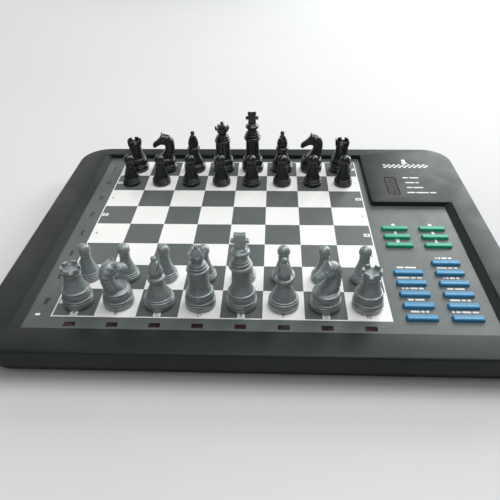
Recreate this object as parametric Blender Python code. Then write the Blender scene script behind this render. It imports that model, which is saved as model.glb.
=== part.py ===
# Electronic chess computer: a flat two-shell table unit with a printed
# pressure-sensor board, a keypad, and a full set of thirty-two chessmen.
# Own frame: origin at the bottom centre, +X to the h-file side, +Y to rank 8.
import bpy
import bmesh
import math
from mathutils import Vector, Matrix
from mathutils.geometry import delaunay_2d_cdt

for ob in list(bpy.data.objects):
    bpy.data.objects.remove(ob, do_unlink=True)
for me in list(bpy.data.meshes):
    bpy.data.meshes.remove(me)

MM = 0.001
GAP = 0.3                      # clearance between neighbouring pieces

# ---- driving dimensions (millimetres) ---------------------------------
SQ = 30.0                      # one board square
CASE_X, CASE_Y = 390.0, 305.0  # outer size of the upper shell
CASE_R = 28.0                  # plan radius of the case corners
Z_TOP = 27.0                   # bezel and pod top
Z_PLATE = 22.7                 # playing surface
PLATE_T = 2.0
Z_SEAM = 12.7                  # split line between the shells
Z_FLOOR = 2.3                  # underside of the lower shell
FLOOR_T = 2.5
WALL = 2.5
SLAB_Z = 24.4                  # underside of the bezel slab

BOARD_X0, BOARD_Y0 = -145.5, -113.1     # outer corner of square a1
WIN_X0, WIN_X1 = -163.5, 168.0          # visible plate, left and right
WIN_Y0, WIN_Y1 = -127.8, 135.9          # visible plate, front and rear
POD_X, POD_Y = 101.1, 39.9              # corner of the raised pod
SLOPE_SIDE, SLOPE_FRONT, SLOPE_BACK = 5.5, 2.0, 0.8

KEY_W, KEY_D = 21.6, 5.2
KEY_TOP = 25.1
KEY_TRAVEL = 1.5
KEY_PITCH = 12.75
KEY_COL = (116.0, 147.65)
BLUE_ROW0 = -110.7             # nearest blue row
GREEN_ROW0 = -23.2             # nearest green row
GREEN_PITCH = 12.5

PCB_Z, PCB_T = 9.4, 1.6
GUIDE_Z0, GUIDE_Z1 = 18.4, 20.4
LED_FRONT_Y, LED_LEFT_X = -121.5, -154.5
LED_F_SIZE, LED_L_SIZE = (7.5, 4.0), (3.0, 6.4)

STATUS_C, STATUS_SIZE = (125.1, 71.3), (10.0, 33.0)
SWITCH_X, SWITCH_Z, SWITCH_TRAVEL = 121.15, 17.5, 4.0
JACK_X, JACK_Z = 154.5, 18.0

PIECE_Z = Z_PLATE + GAP        # chessmen stand on the plate

POSTS = [(-179, -118), (-179, 0), (-179, 118), (179, -118), (179, 0), (179, 118),
         (-60, -138.3), (60, -138.3)]
PILLARS = [(-100, -70), (-100, 45), (40, -70), (75, 40)]

# ---- materials ----------------------------------------------------------


def material(name, rgb, rough, metal=0.0):
    m = bpy.data.materials.new(name)
    m.use_nodes = True
    b = m.node_tree.nodes["Principled BSDF"]
    b.inputs["Base Color"].default_value = (rgb[0], rgb[1], rgb[2], 1.0)
    b.inputs["Roughness"].default_value = rough
    b.inputs["Metallic"].default_value = metal
    m.diffuse_color = (rgb[0], rgb[1], rgb[2], 1.0)
    return m


# ---- mesh helpers -------------------------------------------------------


def rect(x0, y0, x1, y1):
    return [(x0, y0), (x1, y0), (x1, y1), (x0, y1)]


def crect(cx, cy, w, d):
    return rect(cx - w / 2, cy - d / 2, cx + w / 2, cy + d / 2)


def circle(cx, cy, r, n=8, phase=0.5):
    return [(cx + r * math.cos(2 * math.pi * (i + phase) / n),
             cy + r * math.sin(2 * math.pi * (i + phase) / n)) for i in range(n)]


def rounded(hx, hy, r, seg=5):
    pts = []
    for sx, sy, a0 in ((1, -1, -90), (1, 1, 0), (-1, 1, 90), (-1, -1, 180)):
        cx, cy = sx * (hx - r), sy * (hy - r)
        for i in range(seg + 1):
            a = math.radians(a0 + 90.0 * i / seg)
            pts.append((cx + r * math.cos(a), cy + r * math.sin(a)))
    return pts


def case_loop(inset):
    return rounded(CASE_X / 2 - inset, CASE_Y / 2 - inset, CASE_R - inset)


def ell(x0, y0, x1, y1, px, py):
    """Rectangle with its rear right quarter (the pod) taken out."""
    return [(x0, y0), (x1, y0), (x1, py), (px, py), (px, y1), (x0, y1)]


def window_loop(o=0.0, side=0.0, front=0.0, back=0.0):
    return ell(WIN_X0 - o - side, WIN_Y0 - o - front, WIN_X1 + o + side, WIN_Y1 + o + back,
               POD_X + o + back, POD_Y + o + back)


def inside(p, loop):
    """Even-odd test of a point against a closed outline."""
    hit = False
    for (x0, y0), (x1, y1) in zip(loop, loop[1:] + loop[:1]):
        if (y0 > p[1]) != (y1 > p[1]) and p[0] < x0 + (p[1] - y0) * (x1 - x0) / (y1 - y0):
            hit = not hit
    return hit


class Solid:
    """Collects flat rings and walls, and welds them into one closed mesh."""

    def __init__(self):
        self.bm = bmesh.new()

    def _v(self, p, z):
        return self.bm.verts.new((p[0] * MM, p[1] * MM, z * MM))

    def wall(self, a, za, b, zb):
        va = [self._v(p, za) for p in a]
        vb = [self._v(p, zb) for p in b]
        n = len(va)
        for i in range(n):
            j = (i + 1) % n
            self.bm.faces.new((va[i], va[j], vb[j], vb[i]))

    def flat(self, z, outer, holes=()):
        pts, edges = [], []
        for lp in [outer] + list(holes):
            k, n = len(pts), len(lp)
            pts += [Vector(p) for p in lp]
            edges += [(k + i, k + (i + 1) % n) for i in range(n)]
        co, _, tris, _, _, _ = delaunay_2d_cdt(pts, edges, [], 0, 1e-5)
        vs = [self._v(p, z) for p in co]
        for t in tris:
            c = (co[t[0]] + co[t[1]] + co[t[2]]) / 3
            if inside(c, outer) and not any(inside(c, h) for h in holes):
                self.bm.faces.new([vs[i] for i in t])

    def finish(self, name, mat, smooth=30):
        bmesh.ops.delete(self.bm, geom=[v for v in self.bm.verts if not v.link_faces],
                         context="VERTS")
        bmesh.ops.remove_doubles(self.bm, verts=self.bm.verts, dist=1e-6)
        bmesh.ops.recalc_face_normals(self.bm, faces=self.bm.faces)
        me = bpy.data.meshes.new(name)
        self.bm.to_mesh(me)
        self.bm.free()
        return place(me, name, mat, smooth)


def place(me, name, mat, smooth=30, loc=(0, 0, 0), rz=0.0):
    if not me.materials:
        me.materials.append(mat)
    me.shade_smooth()
    me.set_sharp_from_angle(angle=math.radians(smooth))
    ob = bpy.data.objects.new(name, me)
    ob.location = Vector(loc) * MM
    ob.rotation_euler = (0, 0, rz)
    bpy.context.collection.objects.link(ob)
    return ob


def box_mesh(name, lo, hi):
    bm = bmesh.new()
    bmesh.ops.create_cube(bm, size=1.0)
    for v in bm.verts:
        v.co = Vector([(lo[i] + (v.co[i] + 0.5) * (hi[i] - lo[i])) * MM for i in range(3)])
    me = bpy.data.meshes.new(name)
    bm.to_mesh(me)
    bm.free()
    return me


def guide(me, name):
    """A helper solid for a Boolean: drawn as wire, never rendered."""
    ob = bpy.data.objects.new(name, me)
    ob.hide_render = True
    ob.display_type = "WIRE"
    bpy.context.collection.objects.link(ob)
    return ob


def boolean(ob, helper, op):
    m = ob.modifiers.new(helper.name, "BOOLEAN")
    m.operation = op
    m.solver = "EXACT"
    m.object = helper


def rod_y(name, cx, cz, r, y0, y1, n=12):
    bm = bmesh.new()
    bmesh.ops.create_cone(bm, cap_ends=True, segments=n, radius1=r * MM, radius2=r * MM,
                          depth=(y1 - y0) * MM)
    bmesh.ops.rotate(bm, verts=bm.verts, cent=(0, 0, 0), matrix=Matrix.Rotation(math.pi / 2, 3, "X"))
    bmesh.ops.translate(bm, verts=bm.verts, vec=Vector((cx, (y0 + y1) / 2, cz)) * MM)
    me = bpy.data.meshes.new(name)
    bm.to_mesh(me)
    bm.free()
    return me


# ---- upper case: bezel, pod, sloped frame round the sunk board ----------
M_CASE = material("case_black", (0.028, 0.034, 0.033), 0.62)
s = Solid()
s.wall(case_loop(0), Z_SEAM + GAP, case_loop(0), Z_TOP - 1.5)
s.wall(case_loop(0), Z_TOP - 1.5, case_loop(0.5), Z_TOP - 0.5)
s.wall(case_loop(0.5), Z_TOP - 0.5, case_loop(1.6), Z_TOP)
top_open = window_loop(0, SLOPE_SIDE, SLOPE_FRONT, SLOPE_BACK)
stat = crect(*STATUS_C, STATUS_SIZE[0] + 2 * GAP, STATUS_SIZE[1] + 2 * GAP)
s.flat(Z_TOP, case_loop(1.6), [top_open, stat])
s.wall(top_open, Z_TOP, window_loop(0), Z_PLATE + GAP)
s.flat(Z_PLATE + GAP, window_loop(6.0), [window_loop(0)])
s.wall(window_loop(6.0), Z_PLATE + GAP, window_loop(6.0), SLAB_Z)
up_posts = [circle(x, y, 3.5) for x, y in POSTS]
s.flat(SLAB_Z, case_loop(WALL), [window_loop(6.0), stat] + up_posts)
s.wall(stat, SLAB_Z, stat, Z_TOP)
for (x, y), lp in zip(POSTS, up_posts):
    pilot = circle(x, y, 1.4)
    s.wall(lp, SLAB_Z, lp, Z_SEAM + GAP)
    s.flat(Z_SEAM + GAP, lp, [pilot])
    s.wall(pilot, Z_SEAM + GAP, pilot, 21.0)
    s.flat(21.0, pilot)
s.wall(case_loop(WALL), SLAB_Z, case_loop(WALL), Z_SEAM + GAP)
s.flat(Z_SEAM + GAP, case_loop(0), [case_loop(WALL)])
upper = s.finish("upper_case", M_CASE)
slot_lo = SWITCH_X - 2.25 - GAP
slot_hi = SWITCH_X + 2.25 + SWITCH_TRAVEL + GAP
boolean(upper, guide(box_mesh("cut_switch_slot", (slot_lo, 148, SWITCH_Z - 2.0),
                              (slot_hi, 156, SWITCH_Z + 2.0)), "cut_switch_slot"), "DIFFERENCE")
boolean(upper, guide(rod_y("cut_jack_hole", JACK_X, JACK_Z, 4.5, 148, 156), "cut_jack_hole"),
        "DIFFERENCE")

# ---- lower case: tray with battery well, posts and door track -----------
M_LOWER = material("lower_black", (0.012, 0.014, 0.014), 0.7)
BAY = (-62.0, 93.5, 46.0, 140.5)           # battery cavity in plan
low_bot, low_top = 7.0, 1.2                # insets of the tray's outer wall
s = Solid()
s.wall(case_loop(low_bot), Z_FLOOR, case_loop(low_top), Z_SEAM)
s.flat(Z_SEAM, case_loop(low_top), [case_loop(low_top + WALL)])
s.wall(case_loop(low_top + WALL), Z_SEAM, case_loop(low_bot + WALL), Z_FLOOR + FLOOR_T)
floor_posts = [circle(x, y, 3.8) for x, y in POSTS]
floor_pillars = [circle(x, y, 3.0, 6) for x, y in PILLARS]
s.flat(Z_FLOOR + FLOOR_T, case_loop(low_bot + WALL), floor_posts + floor_pillars)
for (x, y), lp in zip(POSTS, floor_posts):
    bore, head = circle(x, y, 1.7), circle(x, y, 3.0)
    s.wall(lp, Z_FLOOR + FLOOR_T, lp, Z_SEAM)
    s.flat(Z_SEAM, lp, [bore])
    s.wall(bore, Z_SEAM, bore, 7.5)
    s.flat(7.5, head, [bore])
    s.wall(head, 7.5, head, Z_FLOOR)
for lp in floor_pillars:
    s.wall(lp, Z_FLOOR + FLOOR_T, lp, Z_PLATE - PLATE_T - GAP)
    s.flat(Z_PLATE - PLATE_T - GAP, lp)
strip_l, strip_r = rect(-172, -100, -160, 100), rect(160, -100, 172, 100)
s.flat(Z_FLOOR, case_loop(low_bot), [circle(x, y, 3.0) for x, y in POSTS] + [strip_l, strip_r])
for lp in (strip_l, strip_r):
    s.wall(lp, Z_FLOOR, lp, 3.5)
    s.flat(3.5, lp)
lower = s.finish("lower_case", M_LOWER)
boolean(lower, guide(box_mesh("add_track_pad", (BAY[0] - 8, 86, 4.5), (BAY[2] + 8, 146.5, 7.0)),
                     "add_track_pad"), "UNION")
boolean(lower, guide(box_mesh("add_battery_well", (BAY[0] - 1.6, BAY[1] - 1.6, 6.0),
                              (BAY[2] + 1.6, BAY[3] + 1.6, Z_PLATE - PLATE_T - GAP)),
                     "add_battery_well"), "UNION")
boolean(lower, guide(box_mesh("cut_battery_cavity", (BAY[0], BAY[1], 3.0), (BAY[2], BAY[3], 19.6)),
                     "cut_battery_cavity"), "DIFFERENCE")
boolean(lower, guide(box_mesh("cut_track", (-63.4, 89.6, 1.0), (47.4, 156, 4.8)), "cut_track"),
        "DIFFERENCE")
boolean(lower, guide(box_mesh("cut_track_groove", (-65.4, 89.6, 3.1), (49.4, 156, 4.8)),
                     "cut_track_groove"), "DIFFERENCE")

# ---- battery door: sliding cover with two side tongues ------------------
M_DOOR = material("door_black", (0.014, 0.016, 0.016), 0.6)
s = Solid()
DOOR_Y0, DOOR_Y1 = 90.0, 145.6


def door_ring(y):
    return [(-63.0, 2.3), (47.0, 2.3), (47.0, 3.4), (49.0, 3.4), (49.0, 4.5), (-65.0, 4.5),
            (-65.0, 3.4), (-63.0, 3.4)]


bm = bmesh.new()
ring = door_ring(0)
va = [bm.verts.new((x * MM, DOOR_Y0 * MM, z * MM)) for x, z in ring]
vb = [bm.verts.new((x * MM, DOOR_Y1 * MM, z * MM)) for x, z in ring]
for i in range(len(ring)):
    j = (i + 1) % len(ring)
    bm.faces.new((va[i], va[j], vb[j], vb[i]))
bm.faces.new(va)
bm.faces.new(vb)
bmesh.ops.triangulate(bm, faces=[f for f in bm.faces if len(f.verts) > 4])
bmesh.ops.recalc_face_normals(bm, faces=bm.faces)
me = bpy.data.meshes.new("battery_door")
bm.to_mesh(me)
bm.free()
place(me, "battery_door", M_DOOR)

# ---- board plate: printed sensor board with key and lamp slots ----------
M_PLATE = material("plate_grey", (0.115, 0.128, 0.125), 0.5)
KEYS = []
for r in range(6):
    for c in (0, 1):
        if r == 5 and c == 0:
            continue
        KEYS.append(("blue", KEY_COL[c], BLUE_ROW0 + KEY_PITCH * r))
for r in range(3):
    for c in (0, 1):
        KEYS.append(("green", KEY_COL[c], GREEN_ROW0 + GREEN_PITCH * r))
LEDS = [(BOARD_X0 + SQ * (i + 0.5), LED_FRONT_Y) + LED_F_SIZE for i in range(8)]
LEDS += [(LED_LEFT_X, BOARD_Y0 + SQ * (i + 0.5)) + LED_L_SIZE for i in range(8)]
key_slots = [crect(x, y, KEY_W + 2 * GAP, KEY_D + 2 * GAP) for _, x, y in KEYS]
led_slots = [crect(x, y, w + 2 * GAP, d + 2 * GAP) for x, y, w, d in LEDS]
s = Solid()
outline = window_loop(5.0)
s.flat(Z_PLATE, outline, key_slots + led_slots)
s.flat(Z_PLATE - PLATE_T, outline, key_slots + led_slots)
for lp in [outline] + key_slots + led_slots:
    s.wall(lp, Z_PLATE, lp, Z_PLATE - PLATE_T)
s.finish("board_plate", M_PLATE)

# ---- light guide: one clear red moulding, a lens under each lamp slot ---
M_RED = material("lens_red", (0.16, 0.012, 0.014), 0.25)
s = Solid()
gx0, gy0 = LED_LEFT_X - 3.5, LED_FRONT_Y - 3.5
arm = [(gx0, gy0), (88.0, gy0), (88.0, LED_FRONT_Y + 3.5), (LED_LEFT_X + 3.5, LED_FRONT_Y + 3.5),
       (LED_LEFT_X + 3.5, 116.0), (gx0, 116.0)]
lens = [crect(x, y, w, d) for x, y, w, d in LEDS]
s.flat(GUIDE_Z0, arm)
s.wall(arm, GUIDE_Z0, arm, GUIDE_Z1)
s.flat(GUIDE_Z1, arm, lens)
for lp in lens:
    s.wall(lp, GUIDE_Z1, lp, Z_PLATE)
    s.flat(Z_PLATE, lp)
s.finish("led_light_guide", M_RED)

# ---- main board: circuit board with lamps, chips, switch body and jack --
M_PCB = material("pcb_green", (0.02, 0.12, 0.05), 0.45)
s = Solid()
board = [(-160, -128), (172, -128), (172, 138), (164, 145.9), (104, 145.9), (104, -115), (-148, -115),
         (-148, 115), (-160, 115)]
chips = [(x, y, 3.0, 3.0, 16.0) for x, y, _, _ in LEDS]
chips += [(125.1, 59.3 + 8 * i, 3.0, 3.0, 16.0) for i in range(4)]
chips += [(150, 60, 14, 36, 15.0), (150, 20, 9, 14, 14.0), (115, 22, 12, 12, 17.0)]
chips += [(121, 142.2, 14, 7, 21.0), (JACK_X, 140.7, 9.6, 10.0, 22.5)]
tops = [crect(x, y, w, d) for x, y, w, d, _ in chips]
s.flat(PCB_Z, board)
s.wall(board, PCB_Z, board, PCB_Z + PCB_T)
s.flat(PCB_Z + PCB_T, board, tops)
for lp, c in zip(tops, chips):
    s.wall(lp, PCB_Z + PCB_T, lp, c[4])
    s.flat(c[4], lp)
pcb = s.finish("main_board", M_PCB)
boolean(pcb, guide(rod_y("cut_jack_socket", JACK_X, JACK_Z, 3.4, 138.0, 149.0), "cut_jack_socket"),
        "DIFFERENCE")

# ---- key mat: rubber sheet with a dome under each key -------------------
M_MAT = material("mat_rubber", (0.35, 0.36, 0.36), 0.8)
s = Solid()
sheet = rect(106, -124, 164, 6)
s.flat(11.3, sheet)
s.wall(sheet, 11.3, sheet, 12.3)
domes = [circle(x, y, 3.8, 6) for _, x, y in KEYS]
s.flat(12.3, sheet, domes)
for (_, x, y), lp in zip(KEYS, domes):
    cap = circle(x, y, 2.2, 6)
    s.wall(lp, 12.3, cap, 15.0)
    s.flat(15.0, cap)
s.finish("key_mat", M_MAT)

# ---- keys: bar caps with a flange under the plate and a plunger ---------
M_GREEN = material("key_green", (0.02, 0.30, 0.13), 0.4)
M_BLUE = material("key_blue", (0.035, 0.20, 0.40), 0.4)
Z_UNDER = Z_PLATE - PLATE_T


def key_mesh(name):
    k = Solid()
    rings = [(4.0, 4.0, 17.0), (4.0, 4.0, 18.6), (25.0, 7.8, 18.6), (25.0, 7.8, Z_UNDER - GAP),
             (KEY_W, KEY_D, Z_UNDER - GAP), (KEY_W, KEY_D, KEY_TOP - 1.0),
             (KEY_W - 0.7, KEY_D - 0.7, KEY_TOP - 0.25), (KEY_W - 2.0, KEY_D - 2.0, KEY_TOP)]
    k.flat(17.0, crect(0, 0, 4.0, 4.0))
    for a, b in zip(rings, rings[1:]):
        if a[2] == b[2]:
            big, small = (a, b) if a[0] > b[0] else (b, a)
            k.flat(a[2], crect(0, 0, big[0], big[1]), [crect(0, 0, small[0], small[1])])
        else:
            k.wall(crect(0, 0, a[0], a[1]), a[2], crect(0, 0, b[0], b[1]), b[2])
    k.flat(KEY_TOP, crect(0, 0, rings[-1][0], rings[-1][1]))
    bmesh.ops.remove_doubles(k.bm, verts=k.bm.verts, dist=1e-6)
    bmesh.ops.recalc_face_normals(k.bm, faces=k.bm.faces)
    m = bpy.data.meshes.new(name)
    k.bm.to_mesh(m)
    k.bm.free()
    return m


mesh_b, mesh_g = key_mesh("blue_key"), key_mesh("green_key")
count = {"blue": 0, "green": 0}
for colour, x, y in KEYS:
    count[colour] += 1
    if colour == "blue":
        place(mesh_b, "blue_key_%02d" % count[colour], M_BLUE, loc=(x, y, 0))
    else:
        place(mesh_g, "green_key_%d" % count[colour], M_GREEN, loc=(x, y, 0))

# ---- status window: smoked lens in the pod ------------------------------
M_SMOKE = material("window_smoke", (0.03, 0.012, 0.01), 0.2)
s = Solid()
body = crect(*STATUS_C, *STATUS_SIZE)
flange = crect(*STATUS_C, STATUS_SIZE[0] + 4, STATUS_SIZE[1] + 4)
s.flat(22.9, flange)
s.wall(flange, 22.9, flange, SLAB_Z - GAP)
s.flat(SLAB_Z - GAP, flange, [body])
s.wall(body, SLAB_Z - GAP, body, Z_TOP - 0.1)
s.flat(Z_TOP - 0.1, body)
s.finish("status_window", M_SMOKE)

# ---- power switch: sliding knob in the rear wall ------------------------
M_SW = material("switch_black", (0.02, 0.02, 0.02), 0.5)
bm = bmesh.new()


def ring_y(w, h, y):
    return [bm.verts.new((px * MM, y * MM, pz * MM)) for px, pz in
            ((-w, SWITCH_Z - h), (w, SWITCH_Z - h), (w, SWITCH_Z + h), (-w, SWITCH_Z + h))]


def bridge(a, b):
    for i in range(4):
        j = (i + 1) % 4
        bm.faces.new((a[i], a[j], b[j], b[i]))


r0, r1 = ring_y(8.3, 3.4, 148.2), ring_y(8.3, 3.4, 149.7)
r2, r3, r4 = ring_y(2.25, 1.7, 149.7), ring_y(2.25, 1.7, 151.8), ring_y(1.8, 1.3, 152.3)
bm.faces.new(r0)
bridge(r0, r1)
bridge(r1, r2)
bridge(r2, r3)
bridge(r3, r4)
bm.faces.new(r4)
bmesh.ops.recalc_face_normals(bm, faces=bm.faces)
me = bpy.data.meshes.new("power_switch")
bm.to_mesh(me)
bm.free()
place(me, "power_switch", M_SW, loc=(SWITCH_X, 0, 0))

# ---- rubber foot strips -------------------------------------------------
M_FOOT = material("foot_rubber", (0.03, 0.03, 0.03), 0.9)
for name, x in (("foot_strip_left", -166.0), ("foot_strip_right", 166.0)):
    s = Solid()
    a, b = crect(x, 0, 11.4, 199.4), crect(x, 0, 9.8, 197.8)
    s.flat(0.0, b)
    s.wall(b, 0.0, a, 0.9)
    s.wall(a, 0.9, a, 3.2)
    s.flat(3.2, a)
    s.finish(name, M_FOOT)

# ---- chessmen -----------------------------------------------------------
M_SILVER = material("men_silver", (0.33, 0.36, 0.37), 0.32, 0.15)
M_EBONY = material("men_black", (0.008, 0.009, 0.010), 0.3)

R_BASE, R_PAWN = 11.2, 9.0
BASE = [(R_BASE - 0.6, 0.0), (R_BASE, 1.0), (R_BASE - 0.1, 4.6), (R_BASE - 0.6, 6.4),
        (R_BASE - 0.5, 8.2), (R_BASE - 1.4, 11.4), (R_BASE - 1.3, 13.2)]
PROFILE = {
    "king": BASE + [(9.0, 14.2), (7.6, 17.4), (6.6, 21.0), (6.5, 33.0), (8.3, 34.8), (8.2, 36.6),
                    (7.0, 37.8), (7.0, 39.8), (5.3, 41.8), (4.8, 44.4), (6.5, 46.4), (6.4, 48.4),
                    (3.6, 50.4)],
    "queen": BASE + [(8.6, 14.2), (7.4, 17.0), (7.1, 31.0), (7.8, 31.8), (7.6, 33.2), (6.6, 34.2),
                     (6.4, 35.8), (5.6, 37.6), (4.4, 38.8), (7.0, 46.4), (6.2, 46.6),
                     (3.0, 47.0), (1.6, 50.4)],
    "bishop": [(R_BASE - 0.6, 0.0), (R_BASE, 1.0), (R_BASE - 0.1, 4.4), (R_BASE - 0.9, 6.4),
               (9.9, 8.2), (8.3, 11.4), (6.5, 14.8), (5.0, 18.6), (4.9, 21.2), (6.3, 22.6),
               (6.2, 24.8), (4.6, 26.0), (5.2, 28.2), (5.0, 30.6), (3.5, 34.8), (1.7, 38.2),
               (2.1, 40.0)],
    "rook": BASE + [(9.0, 14.2), (7.4, 17.4), (6.2, 22.0), (6.1, 25.8), (7.1, 28.2), (7.1, 32.8),
                    (5.2, 32.8), (5.2, 29.4)],
    "pawn": [(R_PAWN - 0.5, 0.0), (R_PAWN, 0.9), (R_PAWN - 0.1, 3.6), (R_PAWN - 0.7, 5.2),
             (7.7, 6.8), (6.7, 9.2), (5.3, 12.8), (4.3, 16.4), (3.6, 20.2),
             (4.3, 22.4), (4.8, 25.4), (4.0, 28.4), (2.0, 30.0)],
}
TIP = {"king": 50.4, "queen": 51.6, "bishop": 41.8, "rook": 29.4, "pawn": 30.4}
SEG = {"king": 12, "queen": 12, "bishop": 12, "rook": 12, "pawn": 10, "knight": 12}


def turned(name, prof, tip, seg):
    """A turned solid: the profile runs from the foot to the tip on the axis."""
    bm = bmesh.new()
    rings = []
    for r, z in prof:
        rings.append([bm.verts.new((r * MM * math.cos(2 * math.pi * i / seg),
                                    r * MM * math.sin(2 * math.pi * i / seg), z * MM))
                      for i in range(seg)])
    for a, b in zip(rings, rings[1:]):
        for i in range(seg):
            j = (i + 1) % seg
            bm.faces.new((a[i], a[j], b[j], b[i]))
    bm.faces.new(list(reversed(rings[0])))
    top = bm.verts.new((0, 0, tip * MM)) if abs(tip - prof[-1][1]) > 0.01 else None
    if top:
        for i in range(seg):
            bm.faces.new((rings[-1][i], rings[-1][(i + 1) % seg], top))
    else:
        bm.faces.new(rings[-1])
    bmesh.ops.recalc_face_normals(bm, faces=bm.faces)
    me = bpy.data.meshes.new(name)
    bm.to_mesh(me)
    bm.free()
    return me


def slab_xz(name, pts, half):
    """An outline in the X-Z plane, thickened along Y."""
    bm = bmesh.new()
    f = bm.faces.new([bm.verts.new((x * MM, -half * MM, z * MM)) for x, z in pts])
    out = bmesh.ops.extrude_face_region(bm, geom=[f])
    far = [v for v in out["geom"] if isinstance(v, bmesh.types.BMVert)]
    bmesh.ops.translate(bm, verts=far, vec=(0, 2 * half * MM, 0))
    bmesh.ops.recalc_face_normals(bm, faces=bm.faces)
    me = bpy.data.meshes.new(name)
    bm.to_mesh(me)
    bm.free()
    return me


def cross_outline(w, h, z0, neck, waist):
    """Cross with a broad flared upright and short slim side arms."""
    zc = z0 + h * 0.55
    return [(-neck, z0), (neck, z0), (waist, zc - 1.5), (w, zc - 1.1), (w, zc + 1.1),
            (waist, zc + 1.5), (w * 0.66, z0 + h), (-w * 0.66, z0 + h), (-waist, zc + 1.5),
            (-w, zc + 1.1), (-w, zc - 1.1), (-waist, zc - 1.5)]


HORSE = [(-7.6, 12.6), (-9.4, 18.0), (-10.7, 25.0), (-10.0, 32.4), (-6.4, 37.2), (-1.0, 38.6),
         (0.9, 40.6), (2.4, 37.8), (5.6, 33.3), (10.4, 29.6), (11.5, 27.0), (10.1, 24.2),
         (4.8, 26.6), (0.6, 27.6), (-1.2, 26.4), (0.4, 22.8), (3.6, 17.6), (7.6, 12.6)]


def united(name, a, b):
    oa, ob = guide(a, name + "_core"), guide(b, name + "_top")
    boolean(oa, ob, "UNION")
    dg = bpy.context.evaluated_depsgraph_get()
    me = bpy.data.meshes.new_from_object(oa.evaluated_get(dg))
    me.name = name
    bm = bmesh.new()
    bm.from_mesh(me)
    bmesh.ops.remove_doubles(bm, verts=bm.verts, dist=2e-6)
    bmesh.ops.dissolve_degenerate(bm, edges=bm.edges, dist=2e-6)
    bmesh.ops.triangulate(bm, faces=bm.faces)
    bmesh.ops.recalc_face_normals(bm, faces=bm.faces)
    bm.to_mesh(me)
    bm.free()
    bpy.data.objects.remove(oa, do_unlink=True)
    bpy.data.objects.remove(ob, do_unlink=True)
    return me


def man_mesh(kind, colour):
    name = colour + "_" + kind
    if kind == "knight":
        core = turned(name, BASE + [(8.4, 13.8)], 13.8, SEG[kind])
        return united(name, core, slab_xz(name + "_head", HORSE, 4.6))
    core = turned(name, PROFILE[kind], TIP[kind], SEG[kind])
    if kind == "king":
        return united(name, core, slab_xz(name + "_cross",
                                          cross_outline(6.3, 12.6, 49.0, 3.0, 3.2), 1.9))
    return core


ORDER = ["rook", "knight", "bishop", "queen", "king", "bishop", "knight", "rook"]
FACING = {("white", 1): 0.90, ("white", 6): math.pi + 0.45, ("black", 1): math.pi, ("black", 6): math.pi}
for colour, mat, rank, pawn_rank in (("white", M_SILVER, 0, 1), ("black", M_EBONY, 7, 6)):
    meshes = {}
    for kind in ("pawn", "rook", "knight", "bishop", "queen", "king"):
        meshes[kind] = man_mesh(kind, colour)
    for i, kind in enumerate(ORDER):
        x = BOARD_X0 + SQ * (i + 0.5)
        y = BOARD_Y0 + SQ * (rank + 0.5)
        name = "%s_%s" % (colour, kind)
        if kind not in ("queen", "king"):
            name += "_" + "abcdefgh"[i]
        place(meshes[kind], name, mat, loc=(x, y, PIECE_Z), rz=FACING.get((colour, i), 0.0))
        y = BOARD_Y0 + SQ * (pawn_rank + 0.5)
        place(meshes["pawn"], "%s_pawn_%s" % (colour, "abcdefgh"[i]), mat, loc=(x, y, PIECE_Z))
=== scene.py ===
# The looks of the electronic chess computer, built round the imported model.
import bpy
import bmesh
import math
from mathutils import Matrix, Vector
from mathutils.geometry import delaunay_2d_cdt
from mathutils.noise import noise as perlin


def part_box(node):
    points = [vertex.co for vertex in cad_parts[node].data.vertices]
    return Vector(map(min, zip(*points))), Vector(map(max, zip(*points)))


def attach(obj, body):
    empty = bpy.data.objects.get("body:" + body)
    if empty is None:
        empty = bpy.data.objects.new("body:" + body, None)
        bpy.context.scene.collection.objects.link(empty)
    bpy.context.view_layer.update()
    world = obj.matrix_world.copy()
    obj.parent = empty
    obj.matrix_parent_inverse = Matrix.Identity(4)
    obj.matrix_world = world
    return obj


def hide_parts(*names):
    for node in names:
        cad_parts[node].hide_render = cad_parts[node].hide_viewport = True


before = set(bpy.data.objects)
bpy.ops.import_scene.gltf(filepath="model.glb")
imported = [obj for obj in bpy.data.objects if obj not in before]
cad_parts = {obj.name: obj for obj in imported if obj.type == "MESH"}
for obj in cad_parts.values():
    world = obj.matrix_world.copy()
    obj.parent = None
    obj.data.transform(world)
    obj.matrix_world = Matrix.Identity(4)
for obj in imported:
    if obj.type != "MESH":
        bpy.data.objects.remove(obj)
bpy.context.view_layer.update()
scene = bpy.context.scene

MM = 0.001
ROOT = "console"

# ------------------------------------------------------------ camera --
SQ = 30.0
BX, BY = -145.5, -113.1                 # outer corner of a1
Z_TOP, Z_PLATE, PLATE_T = 27.0, 22.7, 2.0


def add_camera():
    right = Vector((0.99897998, 0.04174159, -0.01722301))
    up = Vector((-0.01054015, 0.58643626, 0.8099268))
    back = Vector((0.04390783, -0.80891912, 0.58627805))
    rot = Matrix((right, up, back)).transposed()
    cam = bpy.data.cameras.new("cam")
    cam.sensor_width = 36.0
    cam.lens = 38.96
    cam.clip_start, cam.clip_end = 0.01, 50
    ob = bpy.data.objects.new("cam", cam)
    m = rot.to_4x4()
    m.translation = Vector(((5.2541 - 4.85) * SQ, (-9.3132 - 3.77) * SQ, 8.7305 * SQ + Z_PLATE)) * MM
    ob.matrix_world = m
    scene.collection.objects.link(ob)
    scene.camera = ob


add_camera()


def area(name, loc, target, size, power, rgb=(1, 1, 1), size_y=None):
    li = bpy.data.lights.new(name, "AREA")
    li.shape = "RECTANGLE"
    li.size, li.size_y = size, size_y or size
    li.energy, li.color = power, rgb
    ob = bpy.data.objects.new(name, li)
    ob.location = loc
    d = Vector(target) - Vector(loc)
    ob.rotation_euler = d.to_track_quat("-Z", "Y").to_euler()
    scene.collection.objects.link(ob)


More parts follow.
